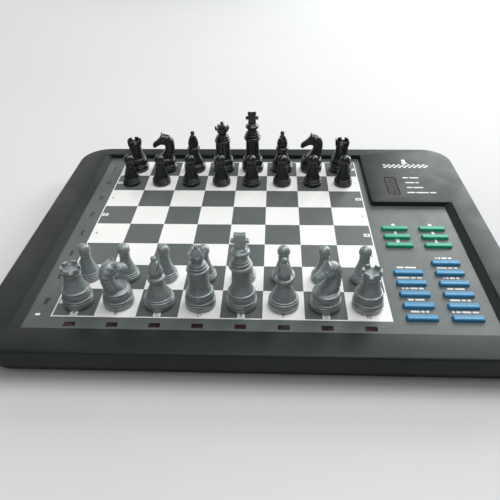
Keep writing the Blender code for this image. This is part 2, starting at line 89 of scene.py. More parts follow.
area("window_light", (1.0, 1.25, 0.72), (0.08, 0, 0), 1.3, 22, (0.97, 1.0, 1.0), 0.7)
area("soft_top", (0.35, 0.2, 1.5), (0, 0, 0), 1.1, 17, (1.0, 0.995, 0.98))
area("back_left", (-0.95, 1.15, 0.62), (-0.12, 0.02, 0), 1.0, 4, (1.0, 0.99, 0.97))
area("front_fill", (-0.45, -1.0, 1.6), (0, 0, 0), 1.0, 7.0, (1.0, 1.0, 1.0))
world = bpy.data.worlds.new("studio")
world.use_nodes = True
world.node_tree.nodes["Background"].inputs["Color"].default_value = (0.86, 0.89, 0.92, 1)
world.node_tree.nodes["Background"].inputs["Strength"].default_value = 0.17
scene.world = world
scene.view_settings.view_transform = "Standard"

# --------------------------------------------------------- materials --


class Mat:
    """A procedural material built from noise in object space."""

    def __init__(self, name, rough=0.5, metal=0.0, spec=0.5, coat=0.0, coat_rough=0.1):
        self.m = bpy.data.materials.new(name)
        self.m.use_nodes = True
        self.t = self.m.node_tree
        self.b = self.t.nodes["Principled BSDF"]
        self.b.inputs["Roughness"].default_value = rough
        self.b.inputs["Metallic"].default_value = metal
        self.b.inputs["Specular IOR Level"].default_value = spec
        if coat:
            self.b.inputs["Coat Weight"].default_value = coat
            self.b.inputs["Coat Roughness"].default_value = coat_rough
        self.co = self.n("ShaderNodeTexCoord").outputs["Object"]

    def n(self, kind, **props):
        node = self.t.nodes.new(kind)
        for k, v in props.items():
            setattr(node, k, v)
        return node

    def link(self, a, b):
        self.t.links.new(a, b)

    def noise(self, scale, detail=3.0, rough=0.55, stretch=None, dist=0.0):
        co = self.co
        if stretch:
            mp = self.n("ShaderNodeMapping")
            mp.inputs["Scale"].default_value = stretch
            self.link(co, mp.inputs["Vector"])
            co = mp.outputs["Vector"]
        nz = self.n("ShaderNodeTexNoise")
        nz.inputs["Scale"].default_value = scale
        nz.inputs["Detail"].default_value = detail
        nz.inputs["Roughness"].default_value = rough
        nz.inputs["Distortion"].default_value = dist
        self.link(co, nz.inputs["Vector"])
        return nz.outputs["Fac"]

    def ramp(self, fac, stops):
        r = self.n("ShaderNodeValToRGB")
        els = r.color_ramp.elements
        while len(els) < len(stops):
            els.new(0.5)
        for e, (p, c) in zip(els, stops):
            e.position = p
            e.color = (c[0], c[1], c[2], 1) if isinstance(c, tuple) else (c, c, c, 1)
        self.link(fac, r.inputs["Fac"])
        return r.outputs["Color"]

    def mix(self, fac, a, b, mode="MIX"):
        x = self.n("ShaderNodeMix", data_type="RGBA", blend_type=mode)
        for sock, v in ((x.inputs[0], fac), (x.inputs[6], a), (x.inputs[7], b)):
            if isinstance(v, (float, int)):
                sock.default_value = v
            elif isinstance(v, tuple):
                sock.default_value = (v[0], v[1], v[2], 1)
            else:
                self.link(v, sock)
        return x.outputs[2]

    def math(self, op, a, b=0.0):
        x = self.n("ShaderNodeMath", operation=op)
        for sock, v in ((x.inputs[0], a), (x.inputs[1], b)):
            if isinstance(v, (float, int)):
                sock.default_value = v
            else:
                self.link(v, sock)
        return x.outputs[0]

    def edge(self, radius, lo=0.05, hi=0.35):
        """1 along convex edges, 0 on flats."""
        bev = self.n("ShaderNodeBevel", samples=4)
        bev.inputs["Radius"].default_value = radius
        geo = self.n("ShaderNodeNewGeometry")
        dot = self.n("ShaderNodeVectorMath", operation="DOT_PRODUCT")
        self.link(bev.outputs["Normal"], dot.inputs[0])
        self.link(geo.outputs["Normal"], dot.inputs[1])
        inv = self.math("SUBTRACT", 1.0, dot.outputs["Value"])
        return self.ramp(inv, [(lo, 0.0), (hi, 1.0)])

    def color(self, sock):
        self.link(sock, self.b.inputs["Base Color"])

    def rough(self, fac, lo, hi):
        mr = self.n("ShaderNodeMapRange")
        mr.inputs["To Min"].default_value = lo
        mr.inputs["To Max"].default_value = hi
        mr.inputs["From Min"].default_value = 0.3
        mr.inputs["From Max"].default_value = 0.7
        self.link(fac, mr.inputs["Value"])
        self.link(mr.outputs["Result"], self.b.inputs["Roughness"])

    def bump(self, fac, strength=0.3, dist=0.0001, prev=None):
        bp = self.n("ShaderNodeBump")
        bp.inputs["Strength"].default_value = strength
        bp.inputs["Distance"].default_value = dist
        self.link(fac, bp.inputs["Height"])
        if prev is not None:
            self.link(prev, bp.inputs["Normal"])
        self.link(bp.outputs["Normal"], self.b.inputs["Normal"])
        return bp.outputs["Normal"]


def moulded(name, dark, light, rough=(0.42, 0.58), grain=2200.0, grain_strength=0.25,
            wear=None, wear_r=0.0006, spec=0.5, coat=0.0):
    """Injection-moulded plastic: fine eroded texture, drifting tone, worn edges."""
    m = Mat(name, spec=spec, coat=coat, coat_rough=0.25)
    big = m.noise(22.0, 4.0, 0.6, dist=0.4)
    fine = m.noise(grain, 2.0, 0.5)
    col = m.ramp(big, [(0.3, dark), (0.7, light)])
    speck = m.ramp(m.noise(900.0, 2.0, 0.7), [(0.35, 0.86), (0.65, 1.0)])
    col = m.mix(1.0, col, speck, "MULTIPLY")
    if wear:
        worn = m.math("MULTIPLY", m.edge(wear_r), m.ramp(m.noise(60.0, 4.0, 0.7),
                                                         [(0.42, 0.0), (0.62, 1.0)]))
        col = m.mix(worn, col, wear)
    m.color(col)
    m.rough(m.noise(40.0, 5.0, 0.65), *rough)
    n1 = m.bump(fine, grain_strength, 0.00006)
    m.bump(m.noise(14.0, 2.0, 0.5), 0.08, 0.0006, n1)
    return m.m


def printed(name, dark, light, rough=(0.34, 0.5), scuff=0.04, spec=0.5):
    """Screen-printed sheet: weave-fine ink texture and light scuffs."""
    m = Mat(name, spec=spec)
    col = m.ramp(m.noise(30.0, 4.0, 0.6, dist=0.3), [(0.3, dark), (0.7, light)])
    lines = m.noise(120.0, 5.0, 0.75, stretch=(1.0, 9.0, 1.0), dist=0.6)
    mark = m.ramp(lines, [(0.62, 0.0), (0.72, scuff)])
    col = m.mix(mark, col, (0.85, 0.86, 0.84))
    speck = m.ramp(m.noise(1500.0, 1.0, 0.5), [(0.3, 0.93), (0.7, 1.0)])
    m.color(m.mix(1.0, col, speck, "MULTIPLY"))
    m.rough(m.noise(55.0, 5.0, 0.7, dist=0.5), *rough)
    m.bump(m.noise(1800.0, 2.0, 0.6), 0.12, 0.00004)
    return m.m


MAT = {}
MAT["case"] = moulded("case_texture", (0.0085, 0.0125, 0.0120), (0.0130, 0.0180, 0.0172),
                      (0.40, 0.52), 1700.0, 0.30, wear=(0.06, 0.07, 0.07), wear_r=0.0007,
                      spec=0.27)
# Darker than case_texture: painted shade, the lower shell darkened so the front wall looks shaded.
MAT["lower"] = moulded("lower_texture_painted_shade", (0.005, 0.0075, 0.0075), (0.009, 0.012, 0.012),
                       (0.5, 0.66), 1300.0, 0.4, wear=(0.04, 0.045, 0.045), spec=0.18)
MAT["door"] = moulded("door_texture", (0.009, 0.011, 0.011), (0.015, 0.018, 0.018),
                      (0.44, 0.58), 1300.0, 0.4, wear=(0.06, 0.065, 0.065), spec=0.32)
MAT["plate"] = printed("plate_ink", (0.078, 0.094, 0.092), (0.096, 0.112, 0.109), (0.40, 0.54))
MAT["dark_sq"] = printed("dark_square_ink", (0.092, 0.107, 0.104), (0.108, 0.123, 0.119),
                         (0.40, 0.54))
MAT["white_sq"] = printed("white_square_ink", (0.86, 0.86, 0.84), (0.91, 0.91, 0.89),
                          (0.36, 0.5), 0.02)
MAT["ink_white"] = printed("legend_ink", (0.72, 0.74, 0.73), (0.82, 0.84, 0.83), (0.4, 0.55))
MAT["ink_dark"] = printed("dark_legend_ink", (0.03, 0.033, 0.034), (0.05, 0.054, 0.055),
                          (0.4, 0.55))
MAT["green"] = moulded("green_key_plastic", (0.010, 0.34, 0.18), (0.020, 0.45, 0.25),
                       (0.34, 0.48), 1500.0, 0.12, wear=(0.12, 0.5, 0.3), wear_r=0.0004)
MAT["blue"] = moulded("blue_key_plastic", (0.034, 0.235, 0.45), (0.052, 0.300, 0.54),
                      (0.34, 0.48), 1500.0, 0.12, wear=(0.14, 0.36, 0.55), wear_r=0.0004)
MAT["rubber"] = moulded("foot_rubber", (0.018, 0.018, 0.018), (0.035, 0.034, 0.033),
                        (0.75, 0.92), 700.0, 0.5)
MAT["switch"] = moulded("switch_plastic", (0.02, 0.021, 0.021), (0.03, 0.031, 0.031),
                        (0.38, 0.5), 1800.0, 0.2, wear=(0.12, 0.12, 0.12))
MAT["mat"] = moulded("key_mat_rubber", (0.30, 0.31, 0.30), (0.38, 0.39, 0.38), (0.7, 0.85),
                     600.0, 0.3)


def men_material(name, dark, light, rough, metal, wear, spec):
    """Pearlescent moulding: drifting metal flake, fine scratches, rubbed edges."""
    m = Mat(name, metal=metal, spec=spec, coat=0.36, coat_rough=0.20)
    flow = m.noise(90.0, 5.0, 0.62, dist=1.4)
    col = m.ramp(flow, [(0.28, dark), (0.72, light)])
    flake = m.ramp(m.noise(3200.0, 1.0, 0.5), [(0.35, 0.84), (0.68, 1.1)])
    col = m.mix(1.0, col, flake, "MULTIPLY")
    worn = m.math("MULTIPLY", m.edge(0.0004), m.ramp(m.noise(220.0, 3.0, 0.7),
                                                     [(0.40, 0.0), (0.65, 1.0)]))
    m.color(m.mix(worn, col, wear))
    m.rough(m.noise(160.0, 5.0, 0.7), *rough)
    scratch = m.noise(420.0, 4.0, 0.7, stretch=(1.0, 1.0, 0.12))
    n1 = m.bump(scratch, 0.10, 0.00006)
    m.bump(m.noise(60.0, 2.0, 0.5), 0.10, 0.0003, n1)
    return m.m


MAT["silver"] = men_material("silver_men_plastic", (0.215, 0.248, 0.250), (0.320, 0.362, 0.364),
                             (0.30, 0.44), 0.28, (0.50, 0.54, 0.55), 0.55)
MAT["ebony"] = men_material("black_men_plastic", (0.005, 0.006, 0.0065), (0.010, 0.0115, 0.0125),
                            (0.22, 0.36), 0.0, (0.04, 0.045, 0.05), 0.5)


def lens_material(name, deep, glow, rough=0.16, coat=0.3):
    m = Mat(name, rough=rough, coat=coat, coat_rough=0.12)
    col = m.ramp(m.noise(260.0, 3.0, 0.5), [(0.35, deep), (0.7, glow)])
    m.color(col)
    m.rough(m.noise(300.0, 3.0, 0.6), rough, rough + 0.1)
    m.bump(m.noise(700.0, 2.0, 0.5, stretch=(1, 5, 1)), 0.1, 0.00005)
    return m.m


MAT["lens"] = lens_material("lens_plastic", (0.009, 0.003, 0.004), (0.030, 0.005, 0.007))
MAT["smoke"] = lens_material("smoked_window", (0.012, 0.008, 0.007), (0.028, 0.015, 0.012), 0.62, 0.0)


def metal_material(name, dark, light, rough):
    m = Mat(name, metal=1.0)
    m.color(m.ramp(m.noise(260.0, 4.0, 0.65), [(0.3, dark), (0.7, light)]))
    m.rough(m.noise(400.0, 4.0, 0.7, stretch=(1, 1, 6)), *rough)
    m.bump(m.noise(900.0, 2.0, 0.6, stretch=(1, 1, 5)), 0.15, 0.00005)
    return m.m


MAT["zinc"] = metal_material("zinc_screw", (0.36, 0.36, 0.35), (0.52, 0.52, 0.5), (0.28, 0.42))
MAT["nickel"] = metal_material("nickel_pin", (0.55, 0.54, 0.50), (0.68, 0.66, 0.62), (0.18, 0.3))


def pcb_material():
    """Circuit board: green resist with copper tracks, black parts above it."""
    m = Mat("circuit_board", rough=0.4)
    sep = m.n("ShaderNodeSeparateXYZ")
    m.link(m.co, sep.inputs[0])
    part = m.math("GREATER_THAN", sep.outputs["Z"], 0.01105)
    br = m.n("ShaderNodeTexBrick")
    br.inputs["Scale"].default_value = 90.0
    br.inputs["Mortar Size"].default_value = 0.06
    m.link(m.co, br.inputs["Vector"])
    track = m.mix(br.outputs["Fac"], (0.010, 0.085, 0.035), (0.05, 0.20, 0.08))
    base = m.mix(m.noise(40.0), track, (0.008, 0.07, 0.03))
    m.color(m.mix(part, base, m.ramp(m.noise(300.0), [(0.3, (0.012, 0.012, 0.013)),
                                                      (0.7, (0.025, 0.025, 0.027))])))
    m.rough(m.noise(200.0), 0.3, 0.5)
    m.bump(br.outputs["Fac"], 0.2, 0.00004)
    return m.m


MAT["pcb"] = pcb_material()

# ------------------------------------------------------ mesh helpers --


def rect(x0, y0, x1, y1):
    return [(x0, y0), (x1, y0), (x1, y1), (x0, y1)]


def crect(cx, cy, w, d):
    return rect(cx - w / 2, cy - d / 2, cx + w / 2, cy + d / 2)


def circle(cx, cy, r, n=24):
    return [(cx + r * math.cos(2 * math.pi * i / n), cy + r * math.sin(2 * math.pi * i / n))
            for i in range(n)]


def fillet(pts, radii, seg=6):
    """Rounds each corner of a counter-clockwise outline by its own radius."""
    out, n = [], len(pts)
    for i in range(n):
        p0, p, p1 = Vector(pts[i - 1]), Vector(pts[i]), Vector(pts[(i + 1) % n])
        r = radii[i]
        a, b = (p0 - p).normalized(), (p1 - p).normalized()
        half = math.acos(max(-1, min(1, a.dot(b)))) / 2
        cut = r / math.tan(half)
        c = p + (a + b).normalized() * (r / math.sin(half))
        s, e = p + a * cut - c, p + b * cut - c
        a0 = math.atan2(s.y, s.x)
        da = math.atan2(e.y, e.x) - a0
        while da > math.pi:
            da -= 2 * math.pi
        while da < -math.pi:
            da += 2 * math.pi
        for k in range(seg + 1):
            t = a0 + da * k / seg
            out.append((c.x + r * math.cos(t), c.y + r * math.sin(t)))
    return out


def rrect(cx, cy, w, d, r, seg=4):
    return fillet(crect(cx, cy, w, d), [r] * 4, seg)


def case_loop(inset, seg=16):
    hx, hy = 195.0 - inset, 152.5 - inset
    return fillet(rect(-hx, -hy, hx, hy), [28.0 - inset] * 4, seg)


WX0, WX1, WY0, WY1, PX, PY = -163.5, 168.0, -127.8, 135.9, 101.1, 39.9


def window_loop(o=0.0, side=0.0, front=0.0, back=0.0, seg=5, rc=1.6, rp=4.2):
    x0, x1 = WX0 - o - side, WX1 + o + side
    y0, y1 = WY0 - o - front, WY1 + o + back
    px, py = PX + o + back, PY + o + back
    big, small = rc + max(o, 0) + side * 0.25, max(rp - o - back, 0.4)
    return fillet([(x0, y0), (x1, y0), (x1, py), (px, py), (px, y1), (x0, y1)],
                  [big, big, rc + max(o, 0), small, rc + max(o, 0), big], seg)


def inside(p, loop):
    hit = False
    for (x0, y0), (x1, y1) in zip(loop, loop[1:] + loop[:1]):
        if (y0 > p[1]) != (y1 > p[1]) and p[0] < x0 + (p[1] - y0) * (x1 - x0) / (y1 - y0):
            hit = not hit
    return hit


class Solid:
    """Rings and walls welded into one closed mesh."""

    def __init__(self):
        self.bm = bmesh.new()

    def wall(self, a, za, b, zb):
        va = [self.bm.verts.new((p[0] * MM, p[1] * MM, za * MM)) for p in a]
        vb = [self.bm.verts.new((p[0] * MM, p[1] * MM, zb * MM)) for p in b]
        n = len(va)
        for i in range(n):
            j = (i + 1) % n
            self.bm.faces.new((va[i], va[j], vb[j], vb[i]))

    def flat(self, z, outer, holes=()):
        pts, edges = [], []
        for lp in [outer] + list(holes):
            k, n = len(pts), len(lp)
            pts += [Vector(p) for p in lp]
            edges += [(k + i, k + (i + 1) % n) for i in range(n)]
        co, _, tris, _, _, _ = delaunay_2d_cdt(pts, edges, [], 0, 1e-5)
        vs = [self.bm.verts.new((p[0] * MM, p[1] * MM, z * MM)) for p in co]
        for t in tris:
            c = (co[t[0]] + co[t[1]] + co[t[2]]) / 3
            if inside(c, outer) and not any(inside(c, h) for h in holes):
                self.bm.faces.new([vs[i] for i in t])

    def block(self, lp, z0, z1, soft=0.0, inner=None):
        """A closed prism with an optional softened top edge."""
        self.flat(z0, lp)
        if soft:
            self.wall(lp, z0, lp, z1 - soft)
            self.wall(lp, z1 - soft, inner, z1)
            self.flat(z1, inner)
        else:
            self.wall(lp, z0, lp, z1)
            self.flat(z1, lp)

    def mesh(self, name):
        bmesh.ops.delete(self.bm, geom=[v for v in self.bm.verts if not v.link_faces],
                         context="VERTS")
        bmesh.ops.remove_doubles(self.bm, verts=self.bm.verts, dist=2e-6)
        bmesh.ops.recalc_face_normals(self.bm, faces=self.bm.faces)
        me = bpy.data.meshes.new(name)
        self.bm.to_mesh(me)
        self.bm.free()
        return me


def put(me, name, mat, body=ROOT, stands_for=(), smooth=30, loc=(0, 0, 0), rz=0.0):
    me.materials.clear()
    me.materials.append(mat)
    me.shade_smooth()
    me.set_sharp_from_angle(angle=math.radians(smooth))
    ob = bpy.data.objects.new(name, me)
    ob.location = Vector(loc)
    ob.rotation_euler = (0, 0, rz)
    scene.collection.objects.link(ob)
    bpy.context.view_layer.update()
    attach(ob, body)
    if stands_for:
        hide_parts(*stands_for)
    return ob


def box_mesh(name, lo, hi):
    bm = bmesh.new()
    bmesh.ops.create_cube(bm, size=1.0)
    for v in bm.verts:
        v.co = Vector([(lo[i] + (v.co[i] + 0.5) * (hi[i] - lo[i])) * MM for i in range(3)])
    me = bpy.data.meshes.new(name)
    bm.to_mesh(me)
    bm.free()
    return me


def carve(me, ops):
    """Applies exact Boolean steps to a mesh and returns the new mesh."""
    a = bpy.data.objects.new("work", me)
    scene.collection.objects.link(a)
    helpers = []
    for op, tool in ops:
        b = bpy.data.objects.new("tool", tool)
        scene.collection.objects.link(b)
        helpers.append(b)
        md = a.modifiers.new("b", "BOOLEAN")
        md.operation, md.solver, md.object = op, "EXACT", b
    bpy.context.view_layer.update()
    dg = bpy.context.evaluated_depsgraph_get()
    out = bpy.data.meshes.new_from_object(a.evaluated_get(dg))
    for ob in [a] + helpers:
        bpy.data.objects.remove(ob, do_unlink=True)
    return out


def rod(name, cx, cz, r, y0, y1, n=40):
    bm = bmesh.new()
    bmesh.ops.create_cone(bm, cap_ends=True, segments=n, radius1=r * MM, radius2=r * MM,
                          depth=(y1 - y0) * MM)
    bmesh.ops.rotate(bm, verts=bm.verts, cent=(0, 0, 0), matrix=Matrix.Rotation(math.pi / 2, 3, "X"))
    bmesh.ops.translate(bm, verts=bm.verts, vec=Vector((cx, (y0 + y1) / 2, cz)) * MM)
    me = bpy.data.meshes.new(name)
    bm.to_mesh(me)
    bm.free()
    return me


def rounding(r, n=5):
    """(inset, drop) steps of a quarter round, from the side to the top."""
    return [(r * (1 - math.cos(math.pi / 2 * k / n)), r * (1 - math.sin(math.pi / 2 * k / n)))
            for k in range(n + 1)]


# ----------------------------------------------------------- upper case --
POSTS = [(-179, -118), (-179, 0), (-179, 118), (179, -118), (179, 0), (179, 118),
         (-60, -138.3), (60, -138.3)]
STAT = (125.1, 71.3)


def upper_case():
    s = Solid()
    s.wall(case_loop(0.35), 13.0, case_loop(0.0), 13.5)
    s.wall(case_loop(0.0), 13.5, case_loop(0.0), Z_TOP - 2.2)
    steps = rounding(2.2, 6)
    for (i0, d0), (i1, d1) in zip(steps, steps[1:]):
        s.wall(case_loop(i0), Z_TOP - d0, case_loop(i1), Z_TOP - d1)

    def opening(o):
        return window_loop(o, 5.5, 2.0, 0.8)

    stat = rrect(*STAT, 10.6, 33.6, 1.2)
    stat_lip = rrect(*STAT, 11.4, 34.4, 1.6)
    lip = rounding(0.7, 4)
    s.flat(Z_TOP, case_loop(2.2), [opening(0.7), stat_lip])
    for (i0, d0), (i1, d1) in zip(lip, lip[1:]):
        s.wall(opening(i0), Z_TOP - d0, opening(i1), Z_TOP - d1)
    s.wall(opening(0.0), Z_TOP - 0.7, window_loop(0.0), 23.0)
    s.flat(23.0, window_loop(6.0), [window_loop(0.0)])
    s.wall(window_loop(6.0), 23.0, window_loop(6.0), 24.4)
    posts = [circle(x, y, 3.5, 20) for x, y in POSTS]
    s.flat(24.4, case_loop(2.5), [window_loop(6.0), stat] + posts)
    s.wall(stat, 24.4, stat, Z_TOP - 0.4)
    s.wall(stat, Z_TOP - 0.4, stat_lip, Z_TOP)
    for (x, y), lp in zip(POSTS, posts):
        pilot = circle(x, y, 1.4, 20)
        s.wall(lp, 24.4, lp, 13.0)
        s.flat(13.0, lp, [pilot])
        s.wall(pilot, 13.0, pilot, 21.0)
        s.flat(21.0, pilot)
    s.wall(case_loop(2.5), 24.4, case_loop(2.5), 13.0)
    s.flat(13.0, case_loop(0.35), [case_loop(2.5)])
    me = s.mesh("upper_case_shell")
    sx = 121.15
    me = carve(me, [
        ("DIFFERENCE", box_mesh("t1", (sx - 2.55, 148, 15.5), (sx + 6.55, 156, 19.5))),
        ("DIFFERENCE", box_mesh("t2", (sx - 5.0, 151.9, 14.3), (sx + 9.0, 156, 20.7))),
        ("DIFFERENCE", rod("t3", 154.5, 18.0, 4.5, 148, 156)),
    ])
    put(me, "upper_case_shell", MAT["case"], stands_for=["upper_case"], smooth=28)


upper_case()

# ----------------------------------------------------------- lower case --


def tray_loop(z):
    t = (z - 2.3) / (12.7 - 2.3)
    return case_loop(7.0 + (1.2 - 7.0) * t)


def lower_case():
    s = Solid()
    s.wall(case_loop(8.2), 2.3, case_loop(7.3), 2.5)
    s.wall(case_loop(7.3), 2.5, tray_loop(3.2), 3.2)
    s.wall(tray_loop(3.2), 3.2, tray_loop(12.7), 12.7)
    s.flat(12.7, tray_loop(12.7), [case_loop(3.7)])
    s.wall(case_loop(3.7), 12.7, case_loop(9.5), 4.8)
    s.flat(4.8, case_loop(9.5), [circle(x, y, 3.8, 20) for x, y in POSTS])
    heads = []
    for x, y in POSTS:
        out, bore, head, mouth = (circle(x, y, r, 20) for r in (3.8, 1.7, 3.0, 3.5))
        s.wall(out, 4.8, out, 12.7)
        s.flat(12.7, out, [bore])
        s.wall(bore, 12.7, bore, 7.5)
        s.flat(7.5, head, [bore])
        s.wall(head, 7.5, head, 2.9)
        s.wall(head, 2.9, mouth, 2.3)
        heads.append(mouth)
    strips = [rrect(-166, 0, 12, 200, 1.0), rrect(166, 0, 12, 200, 1.0)]
    for lp in strips:
        s.wall(lp, 2.3, lp, 3.5)
        s.flat(3.5, lp)
    vents = []
    for i in range(12):
        for x in (-108.0, 108.0):
            vents.append(rrect(x, -52.0 + 7.0 * i, 44.0, 2.2, 1.0, 5))
    for i in range(9):
        vents.append(rrect(0.0, -78.0 + 5.2 * i, 34.0 + 8.0 * math.sin(math.pi * i / 8), 1.8, 0.85, 5))
    for lp in vents:
        s.wall(lp, 2.3, lp, 3.7)
        s.flat(3.7, lp)
    panel_o, panel_i = rrect(-8.0, 40.0, 96.0, 44.0, 3.0, 6), rrect(-8.0, 40.0, 95.0, 43.0, 2.6, 6)
    s.wall(panel_o, 2.3, panel_i, 2.8)
    s.flat(2.8, panel_i)
    s.flat(2.3, case_loop(8.2), heads + strips + vents + [panel_o])
    me = s.mesh("lower_case_shell")
    me = carve(me, [
        ("UNION", box_mesh("p", (-70, 86, 4.5), (54, 146.5, 7.0))),
        ("UNION", box_mesh("w", (-63.6, 91.9, 6.0), (47.6, 142.1, 20.4))),
        ("DIFFERENCE", box_mesh("c", (-62, 93.5, 3.0), (46, 140.5, 19.6))),
        ("DIFFERENCE", box_mesh("t", (-63.4, 89.6, 1.0), (47.4, 156, 4.8))),
        ("DIFFERENCE", box_mesh("g", (-65.4, 89.6, 3.1), (49.4, 156, 4.8))),
    ])
    put(me, "lower_case_shell", MAT["lower"], stands_for=["lower_case"],
        smooth=28)


lower_case()


def battery_door():
    """Sliding cover: side tongues, five grip ribs and an arrow sunk in its face."""
    s = Solid()
    body = rrect(-8.0, 117.8, 110.0, 55.6, 1.2, 5)
    soft = rrect(-8.0, 117.8, 109.0, 54.6, 0.8, 5)
    wide = rrect(-8.0, 117.8, 114.0, 55.6, 1.2, 5)
    arrow = [(-14.0, 132.0), (-2.0, 132.0), (-8.0, 139.5)]
    pits = [rrect(-8.0, 128.2 - 3.4 * i, 26.0, 1.7, 0.8, 5) for i in range(5)]
    s.flat(2.3, soft, [arrow] + pits)
    for lp in [arrow] + pits:
        s.wall(lp, 2.3, lp, 2.9)
        s.flat(2.9, lp)
    s.wall(soft, 2.3, body, 2.8)
    s.wall(body, 2.8, body, 3.4)
    s.wall(body, 3.4, wide, 3.42)
    s.wall(wide, 3.42, wide, 4.5)
    s.flat(4.5, wide)
    put(s.mesh("battery_cover"), "battery_cover", MAT["door"], body="battery_door",
        stands_for=["battery_door"])


battery_door()


def feet():
    for side, x in (("left", -166.0), ("right", 166.0)):
        s = Solid()
        grooves = [rrect(x, -88.0 + 16.0 * i, 7.0, 1.6, 0.7, 4) for i in range(12)]
        base = rrect(x, 0, 9.8, 197.8, 1.4, 6)
        s.flat(0.0, base, grooves)
        for lp in grooves:
            s.wall(lp, 0.0, lp, 0.8)
            s.flat(0.8, lp)
        mid = rrect(x, 0, 11.4, 199.4, 1.8, 6)
        s.wall(base, 0.0, rrect(x, 0, 10.9, 198.9, 1.7, 6), 0.35)
        s.wall(rrect(x, 0, 10.9, 198.9, 1.7, 6), 0.35, mid, 1.0)
        s.wall(mid, 1.0, mid, 3.2)
        s.flat(3.2, mid)
        put(s.mesh("foot_" + side), "foot_" + side, MAT["rubber"],
            stands_for=["foot_strip_" + side])


feet()


def screws():
    """Pan-head screws at the bottom of their wells."""
    s = Solid()
    n = 28
    prof = [(1.2, 20.0), (1.2, 7.4), (2.6, 7.4), (2.6, 6.6), (2.3, 6.0), (1.6, 5.65)]
    s.flat(20.0, circle(0, 0, 1.2, n))
    for (r0, z0), (r1, z1) in zip(prof, prof[1:]):
        if z0 == z1:
            s.flat(z0, circle(0, 0, max(r0, r1), n), [circle(0, 0, min(r0, r1), n)])
        else:
            s.wall(circle(0, 0, r0, n), z0, circle(0, 0, r1, n), z1)
    a, b = 0.30, 1.25
    cross = [(a, -b), (a, -a), (b, -a), (b, a), (a, a), (a, b), (-a, b), (-a, a), (-b, a),
             (-b, -a), (-a, -a), (-a, -b)]
    s.flat(5.65, circle(0, 0, 1.6, n), [cross])
    s.wall(cross, 5.65, cross, 6.5)
    s.flat(6.5, cross)
    me = s.mesh("case_screw")
    for i, (x, y) in enumerate(POSTS):
        put(me if i == 0 else me.copy(), "case_screw_%d" % (i + 1), MAT["zinc"],
            loc=(x * MM, y * MM, 0), rz=0.7 * i)


screws()

# ---------------------------------------------------------- board plate --
KEY_W, KEY_D, KEY_TOP = 21.6, 5.2, 25.1
KEYS = {}
for i in range(1, 12):
    lo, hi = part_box("blue_key_%02d" % i)
    KEYS["blue_key_%02d" % i] = ((lo[0] + hi[0]) * 500, (lo[1] + hi[1]) * 500)
for i in range(1, 7):
    lo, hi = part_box("green_key_%d" % i)
    KEYS["green_key_%d" % i] = ((lo[0] + hi[0]) * 500, (lo[1] + hi[1]) * 500)
LEDS = [(BX + SQ * (i + 0.5), -121.5, 7.5, 4.0) for i in range(8)]
LEDS += [(-154.5, BY + SQ * (i + 0.5), 3.0, 6.4) for i in range(8)]


def plate():
    s = Solid()
    out = window_loop(5.0)
    slots, rims = [], []
    for x, y in KEYS.values():
        slots.append(rrect(x, y, KEY_W + 0.6, KEY_D + 0.6, 1.3))
        rims.append(rrect(x, y, KEY_W + 1.1, KEY_D + 1.1, 1.55))
    for x, y, w, d in LEDS:
        slots.append(rrect(x, y, w + 0.5, d + 0.5, 0.5))
        rims.append(rrect(x, y, w + 0.8, d + 0.8, 0.65))
    s.flat(Z_PLATE, out, rims)
    s.flat(Z_PLATE - PLATE_T, out, slots)
    s.wall(out, Z_PLATE, out, Z_PLATE - PLATE_T)
    for a, b in zip(rims, slots):
        s.wall(a, Z_PLATE, b, Z_PLATE - 0.25)
        s.wall(b, Z_PLATE - 0.25, b, Z_PLATE - PLATE_T)
    put(s.mesh("sensor_plate"), "sensor_plate", MAT["plate"],
        stands_for=["board_plate"])


plate()

INK0, INK1 = Z_PLATE + 0.005, Z_PLATE + 0.045


def film(name, outlines, mat, z0=INK0, z1=INK1):
    """A printed layer: thin flat islands of ink."""
    s = Solid()
    for item in outlines:
        outer, holes = item if isinstance(item, tuple) and isinstance(item[1], list) \
            and item[1] and isinstance(item[1][0], list) else (item, [])
        s.flat(z0, outer, holes)
        s.flat(z1, outer, holes)
        for lp in [outer] + holes:
            s.wall(lp, z0, lp, z1)
    put(s.mesh(name), name, mat)


def square(f, r):
    return rect(BX + SQ * f, BY + SQ * r, BX + SQ * (f + 1), BY + SQ * (r + 1))


light_sq, dark_sq = [], []
MARK = []                               # edge boxes that carry the coordinates
for f in range(8):
    for r in range(8):
        (light_sq if (f + r) % 2 else dark_sq).append((f, r))
BOXW, BOXH = 5.4, 4.6


def mark_box(f, r, side):
    x0, y0 = BX + SQ * f, BY + SQ * r
    if side == "front":
        return crect(x0 + SQ / 2, y0 + 0.4 + BOXH / 2, BOXW, BOXH)
    if side == "left":
        return crect(x0 + 0.6 + BOXW / 2, y0 + SQ / 2, BOXW, BOXH)
    return crect(x0 + SQ - 0.6 - BOXW / 2, y0 + SQ / 2, BOXW, BOXH)


MARKS = [(f, 0, "front", "ABCDEFGH"[f]) for f in range(8)]
MARKS += [(0, r, "left", "12345678"[r]) for r in range(8)]
MARKS += [(7, r, "right", "12345678"[r]) for r in range(8)]


def print_board():
    white = [rect(*(square(f, r)[0] + square(f, r)[2])) for f, r in light_sq]
    b = 1.0
    frame_o = rect(BX - b, BY - b, BX + 8 * SQ + b, BY + 8 * SQ + b)
    frame_i = rect(BX - 0.02, BY - 0.02, BX + 8 * SQ + 0.02, BY + 8 * SQ + 0.02)
    white.append((frame_o, [frame_i]))
    white.append(crect(-156.4, -112.2, 3.4, 2.2))
    film("board_white_print", white, MAT["white_sq"])
    darks = []
    for f, r in dark_sq:
        darks.append(rect(*(square(f, r)[0] + square(f, r)[2])))
    film("board_dark_print", darks, MAT["dark_sq"], INK0, INK1 - 0.01)
    boxes = [mark_box(f, r, side) for f, r, side, _ in MARKS if (f + r) % 2 == 0]
    film("coordinate_boxes", boxes, MAT["ink_white"], INK1 - 0.005, INK1 + 0.03)


print_board()


